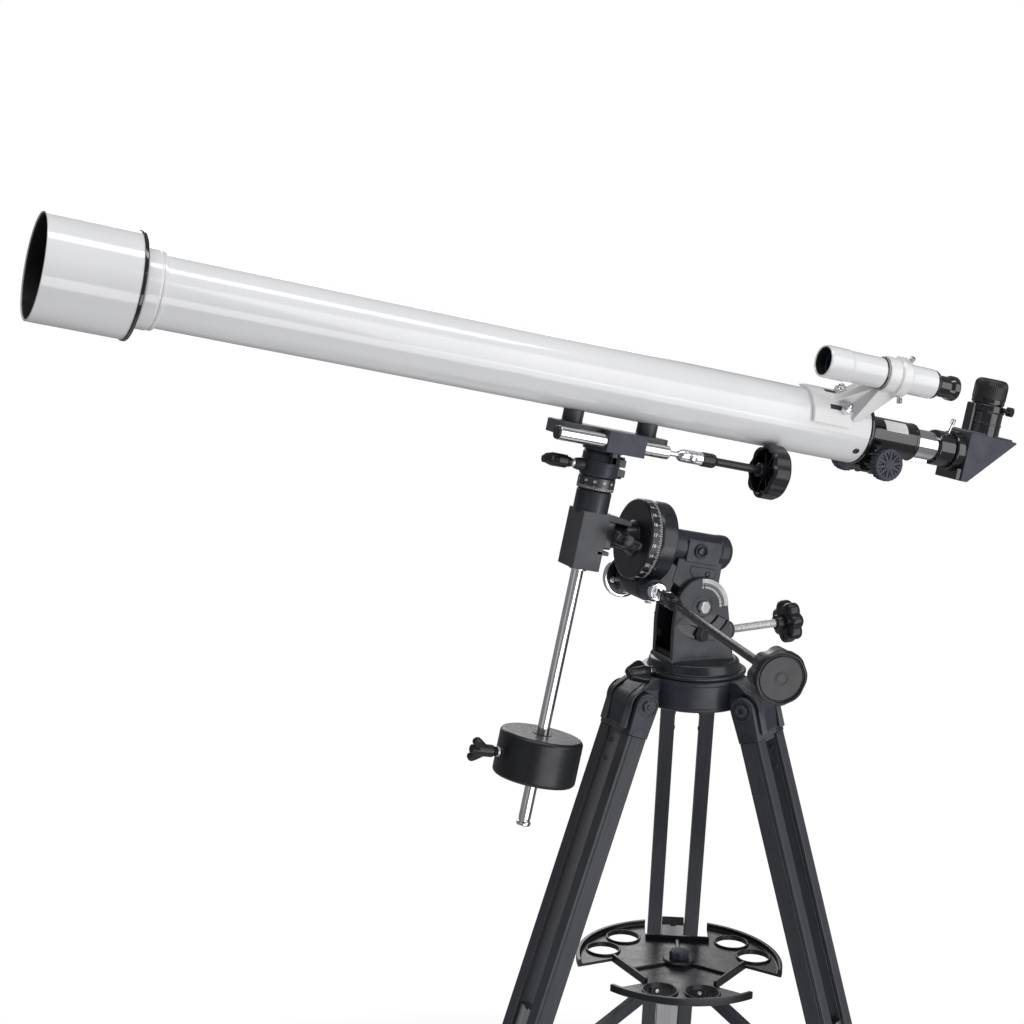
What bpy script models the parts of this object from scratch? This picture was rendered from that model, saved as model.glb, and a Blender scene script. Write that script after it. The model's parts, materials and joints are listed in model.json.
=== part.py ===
"""Small refracting telescope on a German equatorial mount and a three-legged tripod.

Every size below is in millimetres; the helpers turn millimetres into Blender's metres.
The model hangs on a tree of empties that follows the real joints:

    origin -> azimuth -> latitude -> polar -> declination -> tube -> finder / diagonal
           -> leg (three times)

In the frames from latitude to tube, X points away from the sky end along the tube,
Y points to the side and Z points from the polar axis up to the tube.
"""
from math import atan2, cos, pi, radians, sin, tau

import bmesh
import bpy
from mathutils import Matrix, Vector

MM = 0.001
GAP = 0.3                      # air left between pieces that touch

# Tripod
LEG_AZIMUTHS = (64.25, 184.25, 304.25)
LEG_TILT = 18.1                # from the vertical
HINGE_R, HINGE_Z = 68.3, -25.0
RAIL_SPACING, RAIL_W, RAIL_D = 40.6, 14.7, 21.0
RAIL_TOP, RAIL_BOTTOM = -32.0, -560.0
CLAMP_TOP, CLAMP_BOTTOM = -540.0, -600.0
CLAMP_KNOB_Z = -578.0
INNER_W, INNER_D, INNER_LENGTH = 24.0, 14.0, 470.0
INNER_BELOW_CLAMP = 190.0
BRACE_PIVOT_X, BRACE_PIVOT_Z = -22.0, -400.0
BRACE_RISE = 30.0              # slope of an open brace
BRACE_HUB_R = 30.0             # radius of the brace pivots on the spreader
TRAY_R, TRAY_LIFT = 105.0, 20.0
HUB_R, HUB_BOTTOM = 50.0, -32.0

# Azimuth base and latitude bracket
BASE_R, BASE_TOP = 52.0, 14.0
BOLT_X, BOLT_Z = -5.4, 68.2
CHEEK_INNER, CHEEK_OUTER, CHEEK_R = 16.0, 22.0, 28.5
BOLT_HEAD = 4.5
LATITUDE = 10.7                # slope of the polar axis in degrees
SCREW_Z, SCREW_RISE, SCREW_LENGTH = 38.0, 3.8, 59.5
POLAR_ABOVE_BOLT = 53.3

# Polar (right ascension) axis
CIRCLE_R, CIRCLE_FRONT, CIRCLE_REAR, DRUM_REAR = 39.5, -80.9, -69.0, -50.6
HOUSING_R, HOUSING_END = 16.5, 25.0
WORM_X, WORM_Z, WORM_HALF = -62.0, -43.0, 34.0
WHEEL_R, WORM_R = 36.2, 6.5
CONTROL_START = (-61.5, -50.0, -44.5)
CONTROL_END = (-93.6, -325.1, -59.0)

# Declination axis
DEC_X = -131.4
BLOCK_W, BLOCK_D, BLOCK_BOTTOM, BLOCK_TOP = 29.0, 34.0, -36.0, 21.0
DEC_R, DEC_CIRCLE_Z, DEC_RING_Z, DEC_RING_TOP = 17.0, 40.0, 53.0, 77.4
SCREW_Y, SCREW_AXIS_Z = -25.0, 88.9
WEIGHT_TOP, WEIGHT_BOTTOM, WEIGHT_R = -202.0, -247.0, 41.0
SHAFT_END, SHAFT_R = -294.0, 6.0

# Optical tube
TUBE_AXIS_Z = 143.8
TUBE_R, TUBE_WALL, TUBE_FRONT, TUBE_REAR = 32.5, 1.2, -460.0, 270.8
SHIELD_R, SHIELD_FRONT, SHIELD_REAR = 47.0, -555.1, -470.0
CELL_R, CELL_REAR, CELL_FRONT = 35.0, -449.0, -486.0
FOCUSER_R, FOCUSER_REAR = 19.0, 341.0
PINION_X, PINION_Z = 293.6, -25.5
DRAW_R, DRAW_FRONT, DRAW_REAR, DRAW_END = 15.0, 235.0, 369.0, 387.0
DIAGONAL_X, EYEPIECE_X = 402.0, 425.0
FINDER_TURN, FINDER_R = 38.0, 78.0

PAINTS = {
    "black": ((0.020, 0.020, 0.022, 1), 0.45, 0.0),
    "white": ((0.86, 0.87, 0.88, 1), 0.18, 0.0),
    "chrome": ((0.80, 0.80, 0.82, 1), 0.12, 1.0),
    "zinc": ((0.62, 0.64, 0.66, 1), 0.30, 1.0),
    "aluminium": ((0.60, 0.61, 0.63, 1), 0.35, 1.0),
    "rubber": ((0.015, 0.015, 0.016, 1), 0.80, 0.0),
    "glass": ((0.55, 0.62, 0.72, 1), 0.05, 0.0),
    "brass": ((0.72, 0.53, 0.25, 1), 0.30, 1.0),
}

for old in list(bpy.data.objects):
    bpy.data.objects.remove(old, do_unlink=True)

PARTS = bpy.data.collections.new("telescope_on_tripod")
CUTTERS = bpy.data.collections.new("cutters")
bpy.context.scene.collection.children.link(PARTS)
bpy.context.scene.collection.children.link(CUTTERS)


# ---------------------------------------------------------------- helpers

def metres(values):
    return tuple(v * MM for v in values)


def empty(name, parent, place=(0, 0, 0), turn=(0, 0, 0)):
    """A joint's frame: place in millimetres, turn in degrees about X, Y and Z."""
    joint = bpy.data.objects.new(name, None)
    joint.parent = parent
    joint.location = metres(place)
    joint.rotation_euler = tuple(radians(a) for a in turn)
    PARTS.objects.link(joint)
    return joint


def shape(mesh, parent):
    """An operand or a future part, kept with the cutters until it is named."""
    made = bpy.data.objects.new("shape", mesh)
    made.parent = parent
    made.hide_render = True
    made.display_type = "WIRE"
    CUTTERS.objects.link(made)
    return made


def from_bmesh(bm, parent):
    mesh = bpy.data.meshes.new("shape")
    bm.to_mesh(mesh)
    bm.free()
    return shape(mesh, parent)


def box(parent, low, high, bevel=0.0):
    """A block between two corners, with an optional bevel on every edge."""
    low, high = Vector(metres(low)), Vector(metres(high))
    size = high - low
    place = Matrix.Translation((low + high) / 2) @ Matrix.Diagonal((*size, 1))
    bm = bmesh.new()
    bmesh.ops.create_cube(bm, size=1.0, matrix=place)
    made = from_bmesh(bm, parent)
    if bevel:
        soften(made, bevel)
    return made


def soften(made, width, segments=1):
    bevel = made.modifiers.new("rounded_edges", "BEVEL")
    bevel.width = width * MM
    bevel.segments = segments
    bevel.limit_method = "ANGLE"


def rod(parent, start, end, radius, end_radius=None, sides=16):
    """A round bar, or a cone when end_radius is given, between two points."""
    start, end = Vector(metres(start)), Vector(metres(end))
    along = end - start
    turn = Vector((0, 0, 1)).rotation_difference(along.normalized()).to_matrix().to_4x4()
    place = Matrix.Translation((start + end) / 2) @ turn
    tip = radius if end_radius is None else end_radius
    bm = bmesh.new()
    bmesh.ops.create_cone(bm, cap_ends=True, segments=sides, radius1=radius * MM,
                          radius2=tip * MM, depth=along.length, matrix=place)
    return from_bmesh(bm, parent)


def turned(parent, profile, ring=False, steps=24, axis="Z", place=(0, 0, 0)):
    """A profile of (radius, height) points, top to bottom on its outer side, spun about Z.

    A ring's profile closes on itself; any other profile starts and ends on the axis.
    """
    count = len(profile)
    edges = [(i, i + 1) for i in range(count - 1)]
    if ring:
        edges.append((count - 1, 0))
    mesh = bpy.data.meshes.new("profile")
    mesh.from_pydata([(r * MM, 0, z * MM) for r, z in profile], edges, [])
    made = shape(mesh, parent)
    made.location = metres(place)
    if axis == "X":
        made.rotation_euler = (0, pi / 2, 0)
    spin = made.modifiers.new("turn", "SCREW")
    spin.steps = spin.render_steps = steps
    spin.use_merge_vertices = True
    spin.merge_threshold = 0.00001
    return made


def arc(centre, radius, start, end, points=9):
    """Points on a circle from one angle to another, in degrees."""
    angles = [radians(start + (end - start) * i / (points - 1)) for i in range(points)]
    return [(centre[0] + radius * cos(a), centre[1] + radius * sin(a)) for a in angles]


def plate(parent, outline, near, far, upright=True):
    """A flat outline with thickness. Upright outlines lie in X and Z, others in X and Y."""
    curve = bpy.data.curves.new("outline", "CURVE")
    curve.dimensions = "2D"
    curve.fill_mode = "BOTH"
    curve.extrude = (far - near) / 2 * MM
    spline = curve.splines.new("POLY")
    spline.points.add(len(outline) - 1)
    for point, (x, y) in zip(spline.points, outline):
        point.co = (x * MM, y * MM, 0, 1)
    spline.use_cyclic_u = True
    drawn = bpy.data.objects.new("outline", curve)
    CUTTERS.objects.link(drawn)
    graph = bpy.context.evaluated_depsgraph_get()
    mesh = bpy.data.meshes.new_from_object(drawn.evaluated_get(graph))
    bpy.data.objects.remove(drawn, do_unlink=True)
    bm = bmesh.new()
    bm.from_mesh(mesh)
    bmesh.ops.remove_doubles(bm, verts=bm.verts, dist=0.000001)
    middle = (near + far) / 2 * MM
    if upright:
        place = Matrix.Translation((0, middle, 0)) @ Matrix.Rotation(pi / 2, 4, "X")
    else:
        place = Matrix.Translation((0, 0, middle))
    bmesh.ops.transform(bm, matrix=place, verts=bm.verts)
    bmesh.ops.recalc_face_normals(bm, faces=bm.faces)
    return from_bmesh(bm, parent)


def combine(made, others, operation):
    for other in others:
        step = made.modifiers.new(operation.lower(), "BOOLEAN")
        step.operation = operation
        step.object = other
    return made


def fuse(made, *others):
    return combine(made, others, "UNION")


def carve(made, *others):
    return combine(made, others, "DIFFERENCE")


def part(made, name, paint):
    """Name a finished shape, move it out of the cutters and give it its material."""
    CUTTERS.objects.unlink(made)
    PARTS.objects.link(made)
    made.name = name
    made.hide_render = False
    made.display_type = "TEXTURED"
    colour, roughness, metallic = PAINTS[paint]
    material = bpy.data.materials.new(name)
    material.use_nodes = True
    shader = material.node_tree.nodes["Principled BSDF"]
    shader.inputs["Base Color"].default_value = colour
    shader.inputs["Roughness"].default_value = roughness
    shader.inputs["Metallic"].default_value = metallic
    made.data.materials.append(material)
    made.data.shade_smooth()
    made.data.set_sharp_from_angle(angle=radians(35))
    return made


def wing(parent, inner, outer, half_span, thickness=7.0):
    """A two-winged knob about local X, from inner to outer, reaching half_span each way."""
    waist = thickness * 0.62
    outline = [(inner, waist), (inner, -waist), (inner + 6, -waist)]
    outline += arc((outer - 6, -half_span + 5), 5, 200, 340, 6)
    outline += [(outer, -waist * 0.6), (outer, waist * 0.6)]
    outline += arc((outer - 6, half_span - 5), 5, 20, 160, 6)
    outline += [(inner + 6, waist)]
    return plate(parent, outline, -thickness / 2, thickness / 2, upright=False)


def lobed(parent, radius, thickness, lobes=7, depth=1.6):
    """A hand knob about local Z with a wavy rim, from height 0 to its thickness."""
    count = lobes * 5
    outline = []
    for i in range(count):
        a = tau * i / count
        r = radius - depth + depth * cos(lobes * a)
        outline.append((r * cos(a), r * sin(a)))
    return plate(parent, outline, 0, thickness, upright=False)


def aim(name, parent, start, end):
    """An empty at start whose Z axis points to end."""
    along = (Vector(end) - Vector(start)).normalized()
    made = empty(name, parent, start)
    made.rotation_euler = Vector((0, 0, 1)).rotation_difference(along).to_euler()
    return made


# ---------------------------------------------------------------- tripod

ORIGIN = empty("origin", None)


def tripod_hub():
    body = turned(ORIGIN, [(0, 0), (HUB_R, 0), (HUB_R + 1, -2), (HUB_R + 1, HUB_BOTTOM + 2),
                           (HUB_R - 1, HUB_BOTTOM), (0, HUB_BOTTOM)], steps=32)
    for number, azimuth in enumerate(LEG_AZIMUTHS, 1):
        turn = empty(f"lug_{number}", ORIGIN, turn=(0, 0, azimuth))
        outline = [(38, -1.5), (HINGE_R - 12, -1.5), (HINGE_R - 2, -6)]
        outline += arc((HINGE_R + 1, HINGE_Z - 2), 16, 62, 5, 6)
        outline += [(HINGE_R + 20.5, HINGE_Z - 21)]
        outline += arc((HINGE_R, HINGE_Z), 17, -50, -130, 6)
        outline += [(HUB_R, HUB_BOTTOM + 4), (38, HUB_BOTTOM + 4)]
        fuse(body, plate(turn, outline, -14, 14))
        hinge = (HINGE_R, -20, HINGE_Z), (HINGE_R, 20, HINGE_Z)
        carve(body, rod(turn, *hinge, 4.3, sides=16))
    part(body, "tripod_hub", "black")


def leg(number, azimuth):
    turn = radians(azimuth)
    hinge = (HINGE_R * cos(turn), HINGE_R * sin(turn), HINGE_Z)
    frame = empty(f"leg_{number}", ORIGIN, hinge, (0, -LEG_TILT, azimuth))
    leg_top_bracket(number, frame)
    leg_rails(number, frame)
    leg_clamp(number, frame)
    inner_leg(number, frame)
    leg_brace(number, frame)


def leg_top_bracket(number, frame):
    """Two ears on the hinge bolt, joined by a cross plate on the rails' tops."""
    outer = RAIL_SPACING / 2 + RAIL_W / 2
    ear = arc((0, 0), 12.5, 180, 0, 7) + [(RAIL_D / 2, RAIL_TOP + GAP), (-RAIL_D / 2, RAIL_TOP + GAP)]
    body = plate(frame, ear, 14.5, outer)
    plug = RAIL_SPACING / 2 - RAIL_W / 2 - GAP
    fuse(body, plate(frame, ear, -outer, -14.5))
    fuse(body, box(frame, (-10, -outer + 1, RAIL_TOP + GAP), (10, outer - 1, RAIL_TOP + 6)))
    fuse(body, box(frame, (-8, -plug, RAIL_TOP - 4), (8, plug, RAIL_TOP + 3)))
    fuse(body, rod(frame, (0, -outer - 2.5, 0), (0, outer + 2.5, 0), 4, sides=16))
    part(body, f"leg_{number}_top_bracket", "black")


def leg_rails(number, frame):
    """Two box rails riveted to one tie plate that carries the brace's ears."""
    half = RAIL_W / 2
    rails = []
    for side in (-1, 1):
        y = side * RAIL_SPACING / 2
        rails.append(box(frame, (-RAIL_D / 2, y - half, RAIL_BOTTOM),
                         (RAIL_D / 2, y + half, RAIL_TOP)))
    body = fuse(*rails)
    tie = box(frame, (-RAIL_D / 2 - 2, -RAIL_SPACING / 2, BRACE_PIVOT_Z - 14),
              (-RAIL_D / 2 + 1.5, RAIL_SPACING / 2, BRACE_PIVOT_Z + 14))
    fuse(body, tie)
    ear = arc((BRACE_PIVOT_X, BRACE_PIVOT_Z), 6, 90, 270, 8)
    ear += [(-RAIL_D / 2, BRACE_PIVOT_Z - 6), (-RAIL_D / 2, BRACE_PIVOT_Z + 6)]
    pin = (BRACE_PIVOT_X, -12, BRACE_PIVOT_Z), (BRACE_PIVOT_X, 12, BRACE_PIVOT_Z)
    for side in (-1, 1):
        near, far = sorted((side * 5.5, side * 9.0))
        fuse(body, plate(frame, ear, near, far))
    carve(body, rod(frame, *pin, 2.4, sides=12))
    part(body, f"leg_{number}_rails", "black")


def leg_clamp(number, frame):
    """The block at the rails' lower end that the inner leg slides through."""
    body = box(frame, (-14, -31, CLAMP_BOTTOM), (14, 31, CLAMP_TOP), 2)
    half_w, half_d = RAIL_W / 2 + GAP, RAIL_D / 2 + GAP
    for side in (-1, 1):
        y = side * RAIL_SPACING / 2
        carve(body, box(frame, (-half_d, y - half_w, RAIL_BOTTOM - GAP),
                        (half_d, y + half_w, CLAMP_TOP + 5)))
    carve(body, box(frame, (-INNER_D / 2 - GAP, -INNER_W / 2 - GAP, CLAMP_BOTTOM - 5),
                    (INNER_D / 2 + GAP, INNER_W / 2 + GAP, CLAMP_TOP + 5)))
    screw = (4, 0, CLAMP_KNOB_Z), (20, 0, CLAMP_KNOB_Z)
    carve(body, rod(frame, *screw, 3.4, sides=16))
    part(body, f"leg_{number}_clamp", "black")
    knob_frame = empty(f"leg_{number}_knob_axis", frame, (0, 0, CLAMP_KNOB_Z))
    knob = wing(knob_frame, 16, 40, 17)
    fuse(knob, rod(knob_frame, (INNER_D / 2 + 0.8, 0, 0), (18, 0, 0), 3, sides=16))
    part(knob, f"leg_{number}_clamp_knob", "black")


def inner_leg(number, frame):
    """The sliding lower leg and its rubber foot, which stands flat on the floor."""
    bottom = CLAMP_BOTTOM - INNER_BELOW_CLAMP
    body = box(frame, (-INNER_D / 2, -INNER_W / 2, bottom),
               (INNER_D / 2, INNER_W / 2, bottom + INNER_LENGTH))
    part(body, f"leg_{number}_inner_leg", "aluminium")
    foot_frame = empty(f"leg_{number}_foot_frame", frame, (0, 0, bottom), (0, LEG_TILT, 0))
    foot = rod(foot_frame, (0, 0, -16), (0, 0, -4), 19, 16)
    sleeve = box(frame, (-10, -15, bottom - 8), (10, 15, bottom + 22), 2)
    fuse(foot, sleeve)
    carve(foot, box(frame, (-INNER_D / 2 - GAP, -INNER_W / 2 - GAP, bottom - GAP),
                    (INNER_D / 2 + GAP, INNER_W / 2 + GAP, bottom + 40)))
    part(foot, f"leg_{number}_foot", "rubber")


def brace_length():
    """Distance between a brace's two pivots, and the height of the spreader's pivots."""
    tilt = radians(LEG_TILT)
    r = HINGE_R - BRACE_PIVOT_Z * sin(tilt) + BRACE_PIVOT_X * cos(tilt)
    z = HINGE_Z + BRACE_PIVOT_Z * cos(tilt) + BRACE_PIVOT_X * sin(tilt)
    length = (r - BRACE_HUB_R) / cos(radians(BRACE_RISE))
    return length, z + length * sin(radians(BRACE_RISE))


def leg_brace(number, frame):
    """A strut from the rails to the spreader; its inner pivot is left open."""
    length, _ = brace_length()
    pivot = empty(f"leg_{number}_brace_axis", frame, (BRACE_PIVOT_X, 0, BRACE_PIVOT_Z),
                  (0, LEG_TILT + BRACE_RISE, 0))
    outline = arc((0, 0), 5.5, 90, -90, 8) + arc((-length, 0), 5.5, 270, 90, 8)
    body = plate(pivot, outline, -5, 5)
    fuse(body, rod(pivot, (0, -9.5, 0), (0, 9.5, 0), 2.1, sides=12))
    part(body, f"leg_{number}_brace", "black")


def spreader():
    """A centre boss with a fork for each brace, and the accessory tray on top of it."""
    _, height = brace_length()
    frame = empty("spreader", ORIGIN, (0, 0, height))
    hub = rod(frame, (0, 0, -9), (0, 0, TRAY_LIFT - GAP), 13)
    for number, azimuth in enumerate(LEG_AZIMUTHS, 1):
        turn = empty(f"fork_{number}", frame, turn=(0, 0, azimuth))
        for side in (-1, 1):
            near, far = sorted((side * 5.6, side * 9.0))
            fin = [(6, -9), (BRACE_HUB_R, -9)]
            fin += arc((BRACE_HUB_R, 0), 7, -60, 60, 6)
            fin += [(BRACE_HUB_R, 9), (20, TRAY_LIFT - 4), (6, TRAY_LIFT - 4)]
            fuse(hub, plate(turn, fin, near, far))
    part(hub, "spreader_hub", "black")
    top = TRAY_LIFT + 3
    tray = turned(frame, [(0, top), (TRAY_R - 4, top), (TRAY_R - 4, top + 5), (TRAY_R, top + 5),
                          (TRAY_R, TRAY_LIFT), (0, TRAY_LIFT)], steps=32)
    for number, azimuth in enumerate(LEG_AZIMUTHS, 1):
        turn = empty(f"notch_{number}", frame, turn=(0, 0, azimuth))
        carve(tray, box(turn, (60, -33, 0), (130, 33, 60)))
        for offset in (45, 75):
            a = radians(offset)
            place = (80 * cos(a), 80 * sin(a))
            carve(tray, rod(turn, (*place, 0), (*place, 50), 16.2))
    part(tray, "accessory_tray", "black")


# ---------------------------------------------------------------- azimuth base and latitude

AZIMUTH = empty("azimuth_axis", ORIGIN)
POLAR_TILT = empty("latitude_axis", AZIMUTH, (BOLT_X, 0, BOLT_Z), (0, LATITUDE, 0))
POLAR = empty("polar_axis", POLAR_TILT, (0, 0, POLAR_ABOVE_BOLT))
DECLINATION = empty("declination_axis", POLAR, (DEC_X, 0, 0))


def azimuth_base():
    """A stepped round flange with two cheeks and a cross bar for the altitude screw."""
    body = turned(AZIMUTH, [(0, BASE_TOP), (41, BASE_TOP), (43, 12.5), (44.5, 9.5), (50.5, 8.5),
                            (BASE_R, 7), (BASE_R, 1.5), (50.5, GAP), (0, GAP)], steps=32)
    cheek = [(-36, 8), (31, 8), (31, 20), (BOLT_X + CHEEK_R, BOLT_Z)]
    cheek += arc((BOLT_X, BOLT_Z), CHEEK_R, 10, 170, 13) + [(-36, 50)]
    bolt = (BOLT_X, -40, BOLT_Z), (BOLT_X, 40, BOLT_Z)
    for near, far in ((-CHEEK_OUTER, -CHEEK_INNER), (CHEEK_INNER, CHEEK_OUTER)):
        fuse(body, plate(AZIMUTH, cheek, near, far))
    fuse(body, box(AZIMUTH, (24, -CHEEK_OUTER + 1, 8), (31, CHEEK_OUTER - 1, 48)))
    fuse(body, rod(AZIMUTH, (27, 0, SCREW_Z - 0.2), (39.5, 0, SCREW_Z + 0.8), 9))
    rise = SCREW_RISE * pi / 180
    ends = [(x, 0, SCREW_Z + (x - 31) * rise) for x in (10, 60)]
    carve(body, rod(AZIMUTH, *ends, 4.6, sides=16))
    carve(body, rod(AZIMUTH, *bolt, 5.3, sides=20))
    part(body, "azimuth_base", "black")


def azimuth_lock_knob():
    frame = empty("azimuth_lock_axis", AZIMUTH, (0, 0, 5), (0, 0, 192))
    knob = wing(frame, 58, 84, 11, 8)
    fuse(knob, rod(frame, (BASE_R + GAP, 0, 0), (60, 0, 0), 2.8, sides=16))
    part(knob, "azimuth_lock_knob", "black")


def latitude_bolt():
    frame = AZIMUTH
    near, far = CHEEK_OUTER + GAP, CHEEK_OUTER + GAP + BOLT_HEAD
    bolt = rod(frame, (BOLT_X, -near - 1, BOLT_Z), (BOLT_X, near + 1, BOLT_Z), 4.9, sides=20)
    for side in (-1, 1):
        fuse(bolt, rod(frame, (BOLT_X, side * near, BOLT_Z), (BOLT_X, side * far, BOLT_Z), 6.6, sides=6))
    part(bolt, "latitude_bolt", "zinc")


def altitude_screw():
    """The threaded rod that pushes the polar housing's tail, and its star knob."""
    frame = empty("altitude_screw_axis", AZIMUTH, (31, 0, SCREW_Z), (0, -SCREW_RISE, 0))
    part(rod(frame, (-34.6, 0, 0), (SCREW_LENGTH, 0, 0), 4.2, sides=16), "altitude_screw", "zinc")
    knob_frame = empty("altitude_knob_axis", frame, (SCREW_LENGTH + GAP, 0, 0), (0, 90, 0))
    knob = lobed(knob_frame, 22, 23, lobes=7, depth=2.6)
    part(knob, "altitude_knob", "black")


def polar_housing():
    """The casting that holds the polar shaft, the worm and the latitude pivot."""
    frame = POLAR
    body = turned(frame, [(0, HOUSING_END), (13, HOUSING_END), (16, HOUSING_END - 3), (17, HOUSING_END - 5),
                          (17, HOUSING_END - 13), (HOUSING_R, HOUSING_END - 13.5), (HOUSING_R, DRUM_REAR),
                          (CIRCLE_R - 1.5, DRUM_REAR), (CIRCLE_R, DRUM_REAR - 1.5), (CIRCLE_R, CIRCLE_REAR + GAP),
                          (0, CIRCLE_REAR + GAP)], steps=32, axis="X")
    drop = -POLAR_ABOVE_BOLT
    web = [(-32, -10), (-32, -34), (-17, drop + 10)]
    web += arc((0, drop), 17, 160, 250, 6) + [(-6, drop - 30), (6, drop - 30)]
    web += arc((0, drop), 17, 290, 360, 5) + [(15, -10)]
    fuse(body, plate(frame, web, -15.5, 15.5))
    fuse(body, rod(frame, (WORM_X, -WORM_HALF, WORM_Z), (WORM_X, WORM_HALF, WORM_Z), 13))
    fuse(body, rod(frame, (-12.4, -19, 0), (-12.4, 0, 0), 7.5))
    carve(body, rod(frame, (-100, 0, 0), (CIRCLE_REAR + GAP, 0, 0), CIRCLE_R + 0.5, sides=32))
    carve(body, rod(frame, (-100, 0, 0), (-53, 0, 0), WHEEL_R + 0.6, sides=32))
    carve(body, rod(frame, (-60, 0, 0), (HOUSING_END - 9, 0, 0), 10.4))
    carve(body, rod(frame, (WORM_X, -60, WORM_Z), (WORM_X, 60, WORM_Z), 4.4, sides=16))
    carve(body, rod(frame, (WORM_X, -11, WORM_Z), (WORM_X, 11, WORM_Z), WORM_R + 0.5, sides=20))
    carve(body, rod(frame, (0, -40, drop), (0, 40, drop), 5.3, sides=20))
    part(body, "polar_housing", "black")


def ra_drive():
    """Worm, worm wheel, setting circle, clamp and slow-motion control."""
    worm = rod(POLAR, (WORM_X, -WORM_HALF - 7.5, WORM_Z), (WORM_X, WORM_HALF + 1, WORM_Z), 4, sides=16)
    fuse(worm, rod(POLAR, (WORM_X, -9, WORM_Z), (WORM_X, 9, WORM_Z), WORM_R, sides=20))
    fuse(worm, rod(POLAR, (WORM_X, -WORM_HALF - 7, WORM_Z), (WORM_X, -WORM_HALF - GAP, WORM_Z), 9))
    fuse(worm, rod(POLAR, (WORM_X, WORM_HALF + GAP, WORM_Z), (WORM_X, WORM_HALF + 7, WORM_Z), 21, sides=32))
    part(worm, "ra_worm", "chrome")
    part(turned(POLAR, [(WHEEL_R, -53.5), (WHEEL_R, -66.0), (16, -66.0), (16, CIRCLE_REAR + GAP),
                        (12.3, CIRCLE_REAR + GAP), (12.3, -53.5)], ring=True, steps=32, axis="X"),
         "ra_worm_wheel", "brass")
    part(turned(POLAR, [(CIRCLE_R - 0.8, CIRCLE_REAR), (CIRCLE_R, CIRCLE_REAR - 0.8),
                        (CIRCLE_R, CIRCLE_FRONT + 0.8), (CIRCLE_R - 0.8, CIRCLE_FRONT),
                        (12.6, CIRCLE_FRONT), (12.6, CIRCLE_REAR)], ring=True, steps=32, axis="X"),
         "ra_setting_circle", "black")
    frame = aim("ra_control_axis", POLAR, CONTROL_START, CONTROL_END)
    length = (Vector(CONTROL_END) - Vector(CONTROL_START)).length
    knob_frame = empty("ra_control_knob_frame", frame, (0, 0, length - 10))
    control = lobed(knob_frame, 23, 20, lobes=8)
    fuse(control, rod(frame, (0, 0, 0), (0, 0, 24), 6.2))
    fuse(control, rod(frame, (0, 0, 20), (0, 0, length), 4.0, sides=16))
    part(control, "ra_control", "black")


def dec_housing():
    """The block on the polar shaft that carries the declination shaft."""
    frame = DECLINATION
    body = box(frame, (-BLOCK_W / 2, -BLOCK_D / 2, BLOCK_BOTTOM), (BLOCK_W / 2, BLOCK_D / 2, BLOCK_TOP), 1.5)
    fuse(body, rod(frame, (0, 0, 0), (0, 0, DEC_CIRCLE_Z), DEC_R, sides=32))
    neck_end = CIRCLE_FRONT - DEC_X - GAP
    neck = box(frame, (10, -13.5, -14), (neck_end, 13.5, 14), 2)
    fuse(body, neck)
    shaft_end = HOUSING_END - 13 - DEC_X
    fuse(body, rod(frame, (neck_end - 2, 0, 0), (-53.2 - DEC_X, 0, 0), 12))
    fuse(body, rod(frame, (neck_end, 0, 0), (shaft_end, 0, 0), 10))
    carve(body, rod(frame, (0, 0, BLOCK_BOTTOM - 1), (0, 0, -16), SHAFT_R + GAP, sides=20))
    carve(body, rod(frame, (0, 0, -12), (0, 0, DEC_CIRCLE_Z + 1), 8.4))
    clamp = (-101 - DEC_X, -20, 0), (-101 - DEC_X, -6, 0)
    carve(body, rod(frame, *clamp, 3.4, sides=16))
    part(body, "dec_housing", "black")


def ra_clamp_knob():
    frame = empty("ra_clamp_axis", DECLINATION, (-101 - DEC_X, 0, 0), (0, 0, -90))
    knob = wing(frame, 19, 36, 15, 9)
    fuse(knob, rod(frame, (7, 0, 0), (22, 0, 0), 3, sides=16))
    part(knob, "ra_clamp_knob", "black")


# ---------------------------------------------------------------- declination

def dec_clutch():
    """The clamp ring with its tongue, its knob and the setting circle."""
    frame = DECLINATION
    ring = turned(frame, [(17, DEC_RING_TOP), (18.5, DEC_RING_TOP - 1.5), (18.5, DEC_RING_Z + 1.5),
                          (17.5, DEC_RING_Z + GAP), (8.4, DEC_RING_Z + GAP), (8.4, DEC_RING_TOP)],
                  ring=True)
    fuse(ring, box(frame, (-3, -28.3, 68), (3, -16, 76)))
    fuse(ring, box(frame, (-3, -28.3, 68), (3, -21.5, 95)))
    fuse(ring, box(frame, (12, -10, 57), (26, 10, 73), 1.5))
    fuse(ring, rod(frame, (-27, 0, 62), (-17, 0, 62), 5.5, sides=16))
    carve(ring, rod(frame, (-30, 0, 62), (-7, 0, 62), 3.4, sides=16))
    part(ring, "dec_clamp_ring", "black")
    knob_frame = empty("dec_clamp_axis", frame, (0, 0, 62), (0, 0, 180))
    knob = wing(knob_frame, 34, 60, 9, 8)
    fuse(knob, rod(knob_frame, (9, 0, 0), (36, 0, 0), 3, sides=16))
    part(knob, "dec_clamp_knob", "black")
    part(turned(frame, [(18, DEC_RING_Z), (18, DEC_CIRCLE_Z + GAP), (8.4, DEC_CIRCLE_Z + GAP),
                        (8.4, DEC_RING_Z)], ring=True), "dec_setting_circle", "aluminium")


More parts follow.
